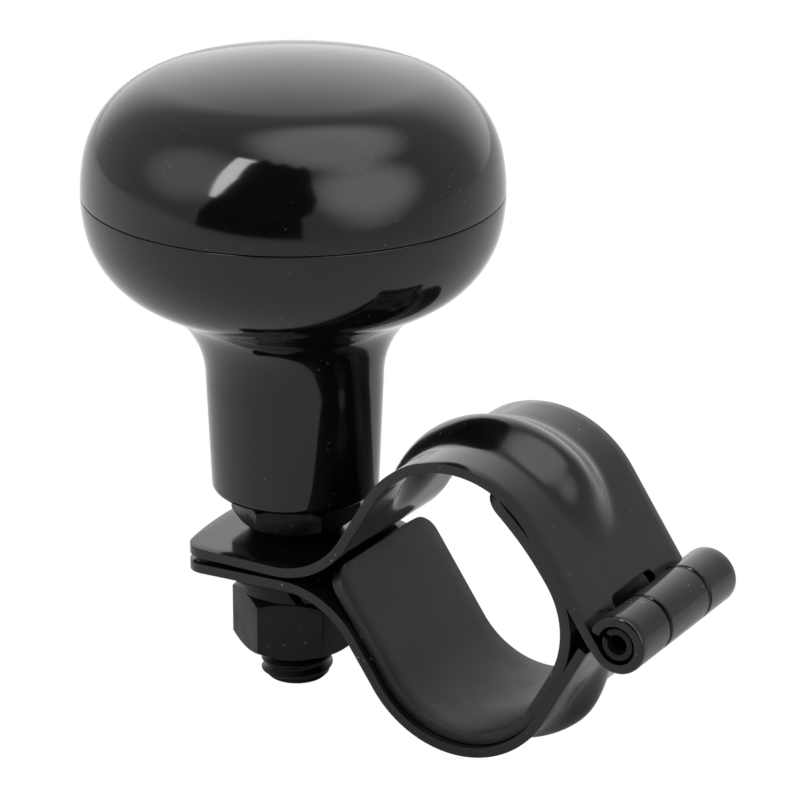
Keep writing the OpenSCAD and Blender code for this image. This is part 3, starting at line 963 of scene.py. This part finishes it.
@dataclass
class Fasteners(Piece):
    """Flat washer, split spring washer and nut below the flanges."""

    washer_top: float = -2.944
    washer_t: float = 1.6
    washer_r: float = 8.0
    spring_t: float = 2.0
    spring_r: float = 6.3
    nut_h: float = 6.8
    shank_r: float = 3.95

    def ring(self, name: str, inner: float, outer: float, low: float, high: float, edge: float) -> bpy.types.Object:
        """A turned ring with eased edges.

        Args:
            name: name of the object.
            inner: bore radius.
            outer: outside radius.
            low: underside's height.
            high: top's height.
            edge: bevel of the edges.

        Returns:
            The ring.
        """
        ring = lathe(name, STUD_X, FLANGE_Z, [(inner, low), (outer, low), (outer, high), (inner, high)])
        soften(ring, edge, 3)
        return ring

    def build(self) -> list[bpy.types.Object]:
        """Models the three fasteners.

        Returns:
            Washer, spring washer and nut.
        """
        spring_top = self.washer_top - self.washer_t
        nut_top = spring_top - self.spring_t
        washer = self.ring("washer_flat", self.shank_r + 0.25, self.washer_r, spring_top, self.washer_top, 0.2)
        spring = lathe("washer_spring", STUD_X, FLANGE_Z, [(self.shank_r + 0.2, nut_top), (self.spring_r, nut_top), (self.spring_r, spring_top), (self.shank_r + 0.2, spring_top)])
        slot = box_tool((self.shank_r - 1, -0.4, -4), (self.spring_r + 6, 0.4, 4))
        slot.data.transform(
            Matrix.Translation((STUD_X * MM, 0, (FLANGE_Z + nut_top + self.spring_t / 2) * MM))
            @ Matrix.Rotation(math.radians(-60), 4, "Z")
            @ Matrix.Rotation(math.radians(35), 4, "X")
        )
        combine(spring, slot, "DIFFERENCE")
        soften(spring, 0.15, 2)
        low = FLANGE_Z + nut_top - self.nut_h
        nut = hex_block("nut_hex", low, FLANGE_Z + nut_top, [(0, 0), (HEX_FACE_R, 0)])
        bore = lathe(
            "bore",
            STUD_X,
            FLANGE_Z + nut_top - self.nut_h,
            [(0, -1), (self.shank_r + 0.55, -0.01), (self.shank_r + 0.05, 0.5), (self.shank_r + 0.05, self.nut_h - 0.5), (self.shank_r + 0.55, self.nut_h + 0.01), (0, self.nut_h + 1)],
        )
        combine(nut, bore, "DIFFERENCE")
        soften(nut, 0.16, 3, 20, 30)
        return [
            self.settle(washer, Slot.OXIDE, "washers", "flat_washer"),
            self.settle(spring, Slot.OXIDE, "washers", "spring_washer"),
            self.settle(nut, Slot.OXIDE, "nut", "clamp_nut"),
        ]


def lay_down(pen: Pen, thick: float) -> bpy.types.Object:
    """Makes a level plate from a drawn plan, with its mid-height at zero.

    Args:
        pen: the plan, closed, with its second coordinate across.
        thick: thickness in millimetres.

    Returns:
        The plate.
    """
    plate = pen.fill_and_pull((0, thick, 0))
    plate.data.transform(Matrix.Translation((0, 0, -thick / 2 * MM)) @ Matrix.Rotation(math.radians(90), 4, "X"))
    return plate


class Half(Enum):
    """The two halves of the clamp."""

    UPPER = "upper"
    LOWER = "lower"


@dataclass(frozen=True)
class ClampShape:
    """Sizes of the stamped halves and the places that follow from them, in the XZ plane."""

    sheet: float = 1.05
    width: float = 21.4
    reach: float = 8.8
    bow_r: float = 44.0
    corner_r: float = 2.6
    hole_r: float = 4.5
    upper_bend_r: float = 9.7
    upper_rise: float = 59.4
    upper_flank: float = 6.35
    crown_r: float = 11.95
    upper_fall: float = 56.0
    hinge_flank: float = 13.96
    lower_bend_r: float = 9.4
    lower_fall: float = 55.4
    lower_flank: float = 5.8
    tilt: float = 1.96
    rib_h: float = 1.75
    rib_half_w: float = 5.6
    run_left: float = 5.0
    run_right: float = 10.0
    rib_margin: float = 0.5
    right_run: float = 6.3
    pin_r: float = 2.0
    pin_clear: float = 0.1
    mid_knuckle_w: float = 8.6
    knuckle_gap: float = 0.3
    curl_gap: float = 0.15
    notch_rise: float = 4.0
    notch_corner_r: float = 1.0
    shoulder_drop: float = 3.15
    rim_r: float = 9.7
    liner_t: float = 1.25
    liner_gap: float = 0.05

    @property
    def knuckle_in(self) -> float:
        """Bore radius of the knuckles."""
        return self.pin_r + self.pin_clear

    @property
    def knuckle_out(self) -> float:
        """Outer radius of the knuckles."""
        return self.knuckle_in + self.sheet

    @property
    def curl_sweep(self) -> float:
        """Turn of a knuckle from its foot to its end, in degrees."""
        return 360 - math.degrees(math.acos((self.knuckle_in - self.curl_gap) / self.knuckle_out))

    @property
    def upper_bend_start(self) -> Vector:
        """Where the upper flange starts to bend up."""
        return Vector((STUD_X + 3.7, FLANGE_Z))

    @property
    def upper_bend_c(self) -> Vector:
        """Centre of the upper half's concave bend."""
        return self.upper_bend_start + Vector((0, self.upper_bend_r))

    @property
    def upper_flank_start(self) -> Vector:
        """Start of the upper half's left flank."""
        return self.upper_bend_c + self.upper_bend_r * heading(self.upper_rise - 90)

    @property
    def crown_start(self) -> Vector:
        """Start of the crown."""
        return self.upper_flank_start + self.upper_flank * heading(self.upper_rise)

    @property
    def crown_c(self) -> Vector:
        """Centre of the crown."""
        return self.crown_start - self.crown_r * left_of(self.upper_rise)

    @property
    def crown_end(self) -> Vector:
        """End of the crown."""
        return self.crown_c + self.crown_r * left_of(-self.upper_fall)

    @property
    def hinge_foot(self) -> Vector:
        """Where the upper half's right flank meets the hinge."""
        return self.crown_end + self.hinge_flank * heading(-self.upper_fall)

    @property
    def hinge_c(self) -> Vector:
        """Centre of the hinge."""
        return self.hinge_foot + self.knuckle_in * left_of(-self.upper_fall)

    @property
    def lower_r(self) -> float:
        """Outer radius of the lower half round the rim."""
        return self.rim_r + self.liner_t + self.liner_gap + self.sheet

    @property
    def lower_rise(self) -> float:
        """Slope of the lower half's right flank, in degrees."""
        h = self.hinge_c
        return math.degrees(math.atan2(h.y, h.x) - math.acos((self.lower_r + self.knuckle_in) / h.length)) + 90

    @property
    def lower_flank_end(self) -> Vector:
        """Where the lower half's left flank meets the round."""
        return -self.lower_r * left_of(-self.lower_fall)

    @property
    def lower_flank_start(self) -> Vector:
        """Start of the lower half's left flank."""
        return self.lower_flank_end - self.lower_flank * heading(-self.lower_fall)

    @property
    def lower_bend_c(self) -> Vector:
        """Centre of the lower half's concave bend."""
        return self.lower_flank_start - self.lower_bend_r * left_of(-self.lower_fall)

    @property
    def lower_bend_start(self) -> Vector:
        """Where the lower flange starts to bend down."""
        return self.lower_bend_c + self.lower_bend_r * left_of(self.tilt)

    @property
    def lower_arc_end(self) -> Vector:
        """Where the round meets the lower half's right flank."""
        return -self.lower_r * left_of(self.lower_rise)

    @property
    def lower_foot(self) -> Vector:
        """Where the lower half's right flank meets the hinge."""
        return self.hinge_c + self.knuckle_in * left_of(self.lower_rise)

    def swell(self, s: float, y: float, total: float) -> float:
        """Height of the rib.

        Args:
            s: distance along the stamped strip.
            y: place across it.
            total: length of the stamped strip.

        Returns:
            Share of the rib's full height, 0 to 1.
        """
        before = max(0.0, self.rib_margin + self.run_left - s) / self.run_left
        after = max(0.0, s - (total - self.rib_margin - self.run_right)) / self.run_right
        rho = math.sqrt((y / self.rib_half_w) ** 2 + before**2 + after**2)
        return 0.0 if rho >= 1 else 0.5 * (1 + math.cos(math.pi * rho))


@dataclass
class ClampHalf(Piece):
    """One stamped half of the clamp, drawn as a row of points that runs from the flange to the hinge."""

    half: Half = Half.UPPER
    shape: ClampShape = field(default_factory=ClampShape)
    rib_columns: int = 28
    lap: float = 0.25
    knuckle_round: float = 0.3

    @property
    def row(self) -> list[float]:
        """Places across the strip, denser where the rib is."""
        w, r = self.shape.width / 2, self.shape.rib_half_w + 0.4
        side = [w + (r - w) * i / 4 for i in range(4)]
        middle = [r * (1 - 2 * i / self.rib_columns) for i in range(self.rib_columns + 1)]
        return side + middle + [-v for v in reversed(side)]

    def draw(self) -> bpy.types.Object:
        """Draws the outer face of the strip.

        Returns:
            The open surface.
        """
        c = self.shape
        start_x = STUD_X - c.reach - 1
        if self.half is Half.UPPER:
            pen = Pen("clamp_upper", (start_x, FLANGE_Z), self.row)
            pen.line(c.upper_bend_start, 6)
            pen.arc(c.upper_bend_c, c.upper_rise, 18)
            pen.line(c.crown_start, 12)
            pen.arc(c.crown_c, -(c.upper_rise + c.upper_fall), 60)
            pen.line(c.crown_end + c.right_run * heading(-c.upper_fall), 12)
            pen.line(c.hinge_foot, 5)
            pen.arc(c.hinge_c, c.curl_sweep, 44)
        else:
            length = (c.lower_bend_start.x - start_x) / math.cos(math.radians(c.tilt))
            pen = Pen("clamp_lower", c.lower_bend_start - length * heading(c.tilt), self.row)
            pen.line(c.lower_bend_start, 6)
            pen.arc(c.lower_bend_c, -(c.lower_fall + c.tilt), 18)
            pen.line(c.lower_flank_end, 12)
            pen.arc(Vector((0, 0)), c.lower_fall + c.lower_rise, 60)
            pen.line(c.lower_arc_end + c.right_run * heading(c.lower_rise), 12)
            pen.line(c.lower_foot, 5)
            pen.arc(c.hinge_c, -c.curl_sweep, 44)
        bpy.ops.mesh.select_all(action="SELECT")
        bpy.ops.mesh.remove_doubles(threshold=1e-7)
        bpy.ops.object.mode_set(mode="OBJECT")
        return pen.obj

    def along(self, x: float, z: float) -> tuple[float, float]:
        """Distance along the stamped strip.

        Args:
            x: place in millimetres.
            z: place in millimetres.

        Returns:
            The distance from the strip's start, and the strip's whole length.
        """
        c = self.shape
        if self.half is Half.UPPER:
            start, a0, a1, centre, r = c.upper_flank_start, c.upper_rise, -c.upper_fall, c.crown_c, c.crown_r
            flank, turn = c.upper_flank, -1
        else:
            start, a0, a1, centre, r = c.lower_flank_start, -c.lower_fall, c.lower_rise, Vector((0, 0)), c.lower_r
            flank, turn = c.lower_flank, 1
        p = Vector((x, z))
        bend = math.radians(abs(a1 - a0)) * r
        total = flank + bend + c.right_run - self.lap
        first = (p - start).dot(heading(a0))
        last = (p - (centre - turn * r * left_of(a1))).dot(heading(a1))
        if last > 0:
            return flank + bend + last - self.lap, total
        if first < flank:
            return first - self.lap, total
        arm = p - centre
        reached = math.degrees(math.atan2(arm.y, arm.x))
        begin = a0 - 90 * turn
        swept = (reached - begin) * turn
        return flank + math.radians(swept % 360) * r - self.lap, total

    def press_rib(self, obj: bpy.types.Object) -> None:
        """Presses the rib out of the drawn face.

        Args:
            obj: the open surface.
        """
        c = self.shape
        group = obj.vertex_groups.new(name="rib")
        left = c.upper_flank_start.x if self.half is Half.UPPER else c.lower_flank_start.x
        right = c.hinge_foot.x if self.half is Half.UPPER else c.lower_foot.x
        for v in obj.data.vertices:
            x, y, z = (value / MM for value in v.co)
            if left < x < right - 1 and math.hypot(x - c.hinge_c.x, z - c.hinge_c.y) > c.knuckle_in + 1:
                s, total = self.along(x, z)
                weight = c.swell(s, y, total)
                if weight > 0:
                    group.add([v.index], weight, "REPLACE")
        apply_modifier(obj, "DISPLACE", direction="NORMAL", strength=c.rib_h * MM, mid_level=0.0, vertex_group="rib")

    def outline(self) -> bpy.types.Object:
        """The block that holds everything inside the stamped outline: bowed end and round corners.

        Returns:
            The block.
        """
        c = self.shape
        x0 = STUD_X - c.reach
        w, r = c.width / 2, c.corner_r
        bow = Vector((x0 + c.bow_r, 0))
        beta = math.degrees(math.asin((w - r) / (c.bow_r - r)))
        corner = bow + (c.bow_r - r) * heading(180 - beta)
        pen = Pen("outline", (40, -w))
        pen.line((40, w))
        pen.line((corner.x, w), 2)
        pen.arc((corner.x, w - r), 90 - beta, 8)
        pen.arc(bow, 2 * beta, 24)
        pen.arc((corner.x, -(w - r)), 90 - beta, 8)
        pen.line((40, -w), 2)
        return lay_down(pen, 80)

    def trim(self, obj: bpy.types.Object) -> None:
        """Cuts the outline, the stud hole and the gaps at the hinge.

        Args:
            obj: the solid strip.
        """
        c = self.shape
        combine(obj, self.outline(), "INTERSECT")
        z0, z1 = (1.5, 8.0) if self.half is Half.UPPER else (-2.0, 6.0)
        deselect_all()
        bpy.ops.mesh.primitive_cylinder_add(vertices=72, radius=c.hole_r * MM, depth=(z1 - z0) * MM, location=(0, 0, 0))
        hole = bpy.context.object
        hole.data.transform(Matrix.Translation((STUD_X * MM, 0, (z0 + z1) / 2 * MM)))
        combine(obj, hole, "DIFFERENCE")
        out = c.knuckle_out + 0.5
        place = Matrix.Translation((c.hinge_c.x * MM, 0, c.hinge_c.y * MM))
        if self.half is Half.UPPER:
            w, r = c.mid_knuckle_w / 2 + c.knuckle_gap, c.notch_corner_r
            pen = Pen("notch", (out, w)).line((r - c.notch_rise, w))
            pen.arc((r - c.notch_rise, w - r), 90, 6).line((-c.notch_rise, r - w))
            pen.arc((r - c.notch_rise, r - w), 90, 6).line((out, -w)).line((out, w))
            notch = lay_down(pen, 2 * out)
            notch.data.transform(place @ Matrix.Rotation(math.radians(c.upper_fall), 4, "Y"))
            combine(obj, notch, "DIFFERENCE")
        else:
            w = c.mid_knuckle_w / 2
            for side in (-1, 1):
                low_y, high_y = sorted((side * w, side * (c.width / 2 + 1)))
                gap = box_tool((-c.shoulder_drop, low_y, -out), (out, high_y, out))
                gap.data.transform(place @ Matrix.Rotation(math.radians(-c.lower_rise), 4, "Y"))
                combine(obj, gap, "DIFFERENCE")

    def round_knuckles(self, obj: bpy.types.Object) -> None:
        """Rounds the outer edges at the ends of the knuckles.

        Args:
            obj: the trimmed half.
        """
        c = self.shape
        activate(obj)
        mesh = obj.data
        out = [math.hypot(v.co.x / MM - c.hinge_c.x, v.co.z / MM - c.hinge_c.y) > c.knuckle_out - 0.03 for v in mesh.vertices]
        right = [v.co.x / MM > c.hinge_c.x - c.knuckle_out for v in mesh.vertices]
        near = [math.hypot(v.co.x / MM - c.hinge_c.x, v.co.z / MM - c.hinge_c.y) < c.knuckle_out + 0.02 for v in mesh.vertices]
        faces = mesh.polygons
        for part in (mesh.vertices, mesh.edges, faces):
            part.foreach_set("select", [False] * len(part))
        for e in mesh.edges:
            a, b = e.vertices
            level = abs(mesh.vertices[a].co.y - mesh.vertices[b].co.y) < 1e-6
            e.select = level and all(out[i] and near[i] and right[i] for i in (a, b)) and self.ends_at(mesh.vertices[a].co.y / MM)
        chosen = sum(e.select for e in mesh.edges)
        LOG.info("%s: %d edges rounded at the knuckles", obj.name, chosen)
        settings = bpy.context.tool_settings
        settings.mesh_select_mode = (False, True, False)
        bpy.ops.object.mode_set(mode="EDIT")
        bpy.ops.mesh.bevel(offset=self.knuckle_round * MM, segments=4, affect="EDGES", clamp_overlap=False)
        bpy.ops.object.mode_set(mode="OBJECT")
        settings.mesh_select_mode = (True, False, False)

    def ends_at(self, y: float) -> bool:
        """Tells whether a knuckle of this half ends at a place across the strip.

        Args:
            y: the place in millimetres.

        Returns:
            True at the end face of a knuckle.
        """
        c = self.shape
        ends = (c.mid_knuckle_w / 2 + c.knuckle_gap, c.width / 2) if self.half is Half.UPPER else (c.mid_knuckle_w / 2,)
        return any(abs(abs(y) - end) < 0.01 for end in ends)

    def build(self) -> list[bpy.types.Object]:
        """Models the half.

        Returns:
            The half.
        """
        obj = self.draw()
        up = 1 if self.half is Half.UPPER else -1
        flat = min(obj.data.polygons, key=lambda p: p.center.x)
        if flat.normal.z * up < 0:
            activate(obj)
            bpy.ops.object.mode_set(mode="EDIT")
            bpy.ops.mesh.select_all(action="SELECT")
            bpy.ops.mesh.flip_normals()
            bpy.ops.object.mode_set(mode="OBJECT")
        self.press_rib(obj)
        apply_modifier(obj, "SOLIDIFY", thickness=self.shape.sheet * MM, offset=-1.0, use_even_offset=True)
        self.trim(obj)
        self.round_knuckles(obj)
        soften(obj, 0.16, 3, 45, 32)
        body, node = (
            ("stud_and_upper_half", "clamp_upper_half") if self.half is Half.UPPER else ("lower_half", "clamp_lower_half")
        )
        return [self.settle(obj, Slot.PAINT, body, node)]


@dataclass
class HingePin(Piece):
    """The rolled spring pin."""

    shape: ClampShape = field(default_factory=ClampShape)
    bore_r: float = 1.1
    length: float = 20.9
    slit: float = 0.6

    def build(self) -> list[bpy.types.Object]:
        """Models the pin.

        Returns:
            The pin.
        """
        h, r = self.length / 2, self.shape.pin_r
        pin = lathe("pin_rolled", 0, 0, [(self.bore_r, -h), (r - 0.3, -h), (r, -h + 0.5), (r, h - 0.5), (r - 0.3, h), (self.bore_r, h)], 64)
        slit = box_tool((0, -self.slit / 2, -h - 1), (r + 1, self.slit / 2, h + 1))
        slit.data.transform(Matrix.Rotation(math.radians(150), 4, "Z"))
        combine(pin, slit, "DIFFERENCE")
        centre = self.shape.hinge_c
        pin.data.transform(Matrix.Translation((centre.x * MM, 0, centre.y * MM)) @ Matrix.Rotation(math.radians(90), 4, "X"))
        soften(pin, 0.12, 2, 30, 30)
        return [self.settle(pin, Slot.OXIDE, "stud_and_upper_half", "hinge_pin")]


@dataclass
class RimLiner(Piece):
    """The rubber liner with its free tip."""

    shape: ClampShape = field(default_factory=ClampShape)
    width: float = 19.6
    clear: float = 0.3
    turn_r: float = 9.5
    tip_r: float = 34.0
    tip_sweep: float = 19.0
    left_reach: float = 13.0
    corner_r: float = 2.4

    def build(self) -> list[bpy.types.Object]:
        """Models the liner.

        Returns:
            The liner.
        """
        c = self.shape
        out = self.turn_r + c.liner_t
        n1, n2 = -left_of(c.lower_rise), left_of(-c.upper_fall)
        d1 = c.rim_r + c.liner_t - out
        d2 = c.crown_end.dot(n2) - c.sheet - self.clear - out
        det = n1.x * n2.y - n1.y * n2.x
        turn_c = Vector(((n2.y * d1 - n1.y * d2) / det, (n1.x * d2 - n2.x * d1) / det))
        start = -c.rim_r * left_of(-c.lower_fall) - self.left_reach * heading(-c.lower_fall)
        w = self.width / 2
        pen = Pen("liner_moulded", start, [w - self.width * i / 10 for i in range(11)])
        pen.line(-c.rim_r * left_of(-c.lower_fall), 14)
        pen.arc(Vector((0, 0)), c.lower_fall + c.lower_rise, 48)
        pen.line(turn_c + self.turn_r * n1, 4)
        pen.arc(turn_c, 180 - c.upper_fall - c.lower_rise, 20)
        pen.arc(turn_c + (self.turn_r - self.tip_r) * n2, self.tip_sweep, 12)
        tip = pen.at
        bpy.ops.mesh.select_all(action="SELECT")
        bpy.ops.mesh.remove_doubles(threshold=1e-7)
        bpy.ops.object.mode_set(mode="OBJECT")
        obj = pen.obj
        lowest = min(obj.data.polygons, key=lambda p: p.center.z)
        offset = -1.0 if lowest.normal.z > 0 else 1.0
        apply_modifier(obj, "SOLIDIFY", thickness=c.liner_t * MM, offset=offset, use_even_offset=True)
        self.round_off(obj, start, -c.lower_fall)
        self.round_off(obj, tip, 360 - c.upper_fall + self.tip_sweep)
        soften(obj, 0.35, 3, 45, 32)
        return [self.settle(obj, Slot.RUBBER, "lower_half", "rubber_liner")]

    def round_off(self, obj: bpy.types.Object, at: Vector, angle: float) -> None:
        """Takes both corners off one end.

        Args:
            obj: the liner.
            at: the end's x and z.
            angle: heading from the end into the liner, in degrees.
        """
        w, r = self.width / 2, self.corner_r
        place = Matrix.Translation((at.x * MM, 0, at.y * MM)) @ Matrix.Rotation(math.radians(-angle), 4, "Y")
        for s in (1, -1):
            pen = Pen("corner", (-1, s * (w - r))).line((0, s * (w - r)))
            pen.arc((r, s * (w - r)), -90 * s, 8).line((r, s * (w + 1))).line((-1, s * (w + 1))).line((-1, s * (w - r)))
            cutter = lay_down(pen, 4 * self.shape.liner_t)
            cutter.data.transform(place)
            combine(obj, cutter, "DIFFERENCE")


@dataclass
class BearingParts(Piece):
    """The pieces inside the knob, which keep their CAD shape and only get a finish."""

    nodes: dict[str, bpy.types.Object] = field(default_factory=dict)

    def build(self) -> list[bpy.types.Object]:
        """Dresses the inner pieces.

        Returns:
            The dressed nodes.
        """
        made = []
        for name, obj in self.nodes.items():
            if obj.hide_render:
                continue
            slot = Slot.BRASS if name.endswith("cage") else Slot.BEARING
            self.wardrobe.dress(obj, slot)
            activate(obj)
            bpy.ops.object.shade_smooth_by_angle(angle=math.radians(30), keep_sharp_edges=False)
            made.append(obj)
            LOG.info("%s keeps its shape and takes %s", name, slot.value)
        return made


# ---------------------------------------------------------------- studio


@dataclass(frozen=True)
class CameraPlace:
    """Where the photo was taken from: angles and offsets from the stud at the flange's height."""

    azimuth: float = 30.728
    elevation: float = 20.762
    roll: float = 0.144
    across: float = -11.346
    up: float = -13.827
    distance: float = 415.09
    lens: float = 171.0


@dataclass(frozen=True)
class Glow:
    """A soft round patch of light in the tent's cloth."""

    azimuth: float
    elevation: float
    inner: float
    outer: float
    level: float


@dataclass(frozen=True)
class Card:
    """A dark card, whose corners are azimuth and elevation pairs as the part sees them."""

    name: str
    azimuth: float
    elevation: float
    distance: float
    corners: tuple[tuple[float, float], ...]


@dataclass(frozen=True)
class Panel:
    """A rectangular lamp, placed by the angles under which the part sees it."""

    name: str
    azimuth: float
    elevation: float
    distance: float
    half_width: float
    half_height: float
    roll: float
    level: float

    @property
    def size(self) -> tuple[float, float]:
        """Width and height in metres."""
        spans = (self.half_width, self.half_height)
        width, height = (2 * self.distance * math.tan(math.radians(v)) for v in spans)
        return width, height


@dataclass
class Studio:
    """White table and tent, one lamp, the dark card round the lens, and the camera. Azimuths count
    to the right from the camera's own."""

    place: CameraPlace = field(default_factory=CameraPlace)
    floor_z: float = -13.9
    floor_front: float = 0.42
    aim: tuple[float, float, float] = (-15.0, 0.0, 20.0)
    tent_level: float = 0.56
    diffuse_share: float = 0.72
    glows: tuple[Glow, ...] = (
        Glow(70, 76, 14, 34, 1.8),
        Glow(45, 25, 10, 36, 1.9),
        Glow(-67, 34, 4, 32, 0.95),
        Glow(172, 0, 18, 58, 0.9),
    )
    lamps: tuple[Panel, ...] = (Panel("lamp", -40, 42, 0.8, 6.0, 21, 0.0, 7.5),)
    cards: tuple[Card, ...] = (
        Card(
            "lens_card",
            -11,
            28,
            0.6,
            (
                (-52, -7), (-50, 4), (-46, 14), (-40, 27), (-36, 42), (-37, 60), (-27, 66), (-15, 61), (-8, 64),
                (3, 58), (9, 61), (14, 54), (12, 38), (14, 24), (11, 12), (5, 6), (6, -8), (-20, -12),
            ),
        ),
    )

    def toward(self, azimuth: float, elevation: float) -> Vector:
        """Direction from the part.

        Args:
            azimuth: degrees to the right of the camera's azimuth.
            elevation: degrees above the horizon.

        Returns:
            The unit vector.
        """
        a, e = math.radians(self.place.azimuth + azimuth), math.radians(elevation)
        return Vector((math.sin(a) * math.cos(e), -math.cos(a) * math.cos(e), math.sin(e)))

    def room(self) -> None:
        """Lays a white floor below the part and a white tent round it."""
        deselect_all()
        bpy.ops.mesh.primitive_plane_add(size=3.0)
        floor = bpy.context.object
        floor.name = "floor"
        back = self.toward(180, 0) * (1.5 - self.floor_front)
        turn = Matrix.Rotation(math.radians(self.place.azimuth), 4, "Z")
        floor.data.transform(Matrix.Translation((back.x, back.y, self.floor_z * MM)) @ turn)
        floor.data.materials.append(Backdrop("white_table", "f2f2f2", 1.0).build())
        g = Graph("tent", sky=True)
        way = g.add("TexCoord").outputs["Generated"]
        level: Any = self.tent_level
        for glow in self.glows:
            axis = self.toward(glow.azimuth, glow.elevation)
            facing = g.add("VectorMath", {0: way, 1: axis}, operation="DOT_PRODUCT").outputs["Value"]
            edges = (math.cos(math.radians(v)) for v in (glow.outer, glow.inner))
            share = g.add("MapRange", {0: facing, 1: next(edges), 2: next(edges)}, interpolation_type="SMOOTHSTEP")
            level = g.maths("ADD", level, g.maths("MULTIPLY", share.outputs[0], glow.level))
        path = g.add("LightPath").outputs
        soft = g.add("Background", {0: (1, 1, 1, 1), 1: g.maths("MULTIPLY", level, self.diffuse_share)})
        mirrored = g.add("Background", {0: (1, 1, 1, 1), 1: level})
        white = g.add("Background", {0: (1, 1, 1, 1), 1: 1.0})
        tent = g.add("MixShader", {0: path["Is Glossy Ray"], 1: soft.outputs[0], 2: mirrored.outputs[0]})
        seen = g.add("MixShader", {0: path["Is Camera Ray"], 1: tent.outputs[0], 2: white.outputs[0]})
        bpy.context.scene.world = g.finish(seen.outputs[0])

    def stand(self, panel: Panel) -> Matrix:
        """Place of a panel that faces the part.

        Args:
            panel: the lamp.

        Returns:
            Its matrix, with its front along +Z.
        """
        back = self.toward(panel.azimuth, panel.elevation)
        across = self.toward(panel.azimuth + 90, 0)
        front = -back
        up = front.cross(across)
        turn = Matrix((across, up, front)).transposed().to_4x4()
        return Matrix.Translation(back * panel.distance + Vector(self.aim) * MM) @ turn @ Matrix.Rotation(math.radians(panel.roll), 4, "Z")

    def equip(self) -> None:
        """Hangs the lamps and stands the dark cards."""
        for panel in self.lamps:
            data = bpy.data.lights.new(panel.name, "AREA")
            data.shape = "RECTANGLE"
            data.size, data.size_y = panel.size
            data.energy = 4 * panel.level * data.size * data.size_y
            light = bpy.data.objects.new(panel.name, data)
            light.matrix_world = self.stand(panel) @ Matrix.Rotation(math.pi, 4, "X")
            bpy.context.scene.collection.objects.link(light)
        for panel in self.cards:
            deselect_all()
            bpy.ops.mesh.primitive_circle_add(vertices=len(panel.corners), fill_type="NGON")
            card = bpy.context.object
            card.name = panel.name
            axis = self.toward(panel.azimuth, panel.elevation)
            for vertex, corner in zip(card.data.vertices, panel.corners):
                way = self.toward(*corner)
                vertex.co = Vector(self.aim) * MM + way * panel.distance / way.dot(axis)
            card.data.materials.append(Backdrop(panel.name, "0a0a0a", 1.0).build())

    def camera(self) -> None:
        """Sets the camera at the photo's angle."""
        p = self.place
        a, e, r = math.radians(p.azimuth), math.radians(p.elevation), math.radians(p.roll)
        back = Vector((math.sin(a) * math.cos(e), -math.cos(a) * math.cos(e), math.sin(e)))
        right = Vector((math.cos(a), math.sin(a), 0))
        up = back.cross(right)
        right, up = math.cos(r) * right + math.sin(r) * up, math.cos(r) * up - math.sin(r) * right
        spot = -(p.across * right + p.up * up) + p.distance * back + Vector((STUD_X, 0, FLANGE_Z))
        data = bpy.data.cameras.new("camera")
        data.lens, data.sensor_width = p.lens, 36.0
        data.clip_start, data.clip_end = 0.01, 20.0
        camera = bpy.data.objects.new("camera", data)
        camera.matrix_world = Matrix(
            (
                (right.x, up.x, back.x, spot.x * MM),
                (right.y, up.y, back.y, spot.y * MM),
                (right.z, up.z, back.z, spot.z * MM),
                (0, 0, 0, 1),
            )
        )
        bpy.context.scene.collection.objects.link(camera)
        bpy.context.scene.camera = camera

    def build(self) -> None:
        """Sets up the room, lights, camera and plain view transform."""
        self.room()
        self.equip()
        self.camera()
        bpy.context.scene.view_settings.view_transform = "Standard"


def main() -> None:
    """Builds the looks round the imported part."""
    logging.basicConfig(level=logging.INFO, format="%(name)s: %(message)s")
    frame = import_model()
    wardrobe = Wardrobe()
    pieces: list[Piece] = [
        Knob(wardrobe),
        Stud(wardrobe),
        Fasteners(wardrobe),
        ClampHalf(wardrobe, Half.UPPER),
        ClampHalf(wardrobe, Half.LOWER),
        HingePin(wardrobe),
        RimLiner(wardrobe),
        BearingParts(wardrobe, frame["nodes"]),
    ]
    for piece in pieces:
        made = piece.build()
        LOG.info("%s: %s", type(piece).__name__, ", ".join(o.name for o in made))
    Studio().build()
    deselect_all()


if __name__ == "__main__":
    main()
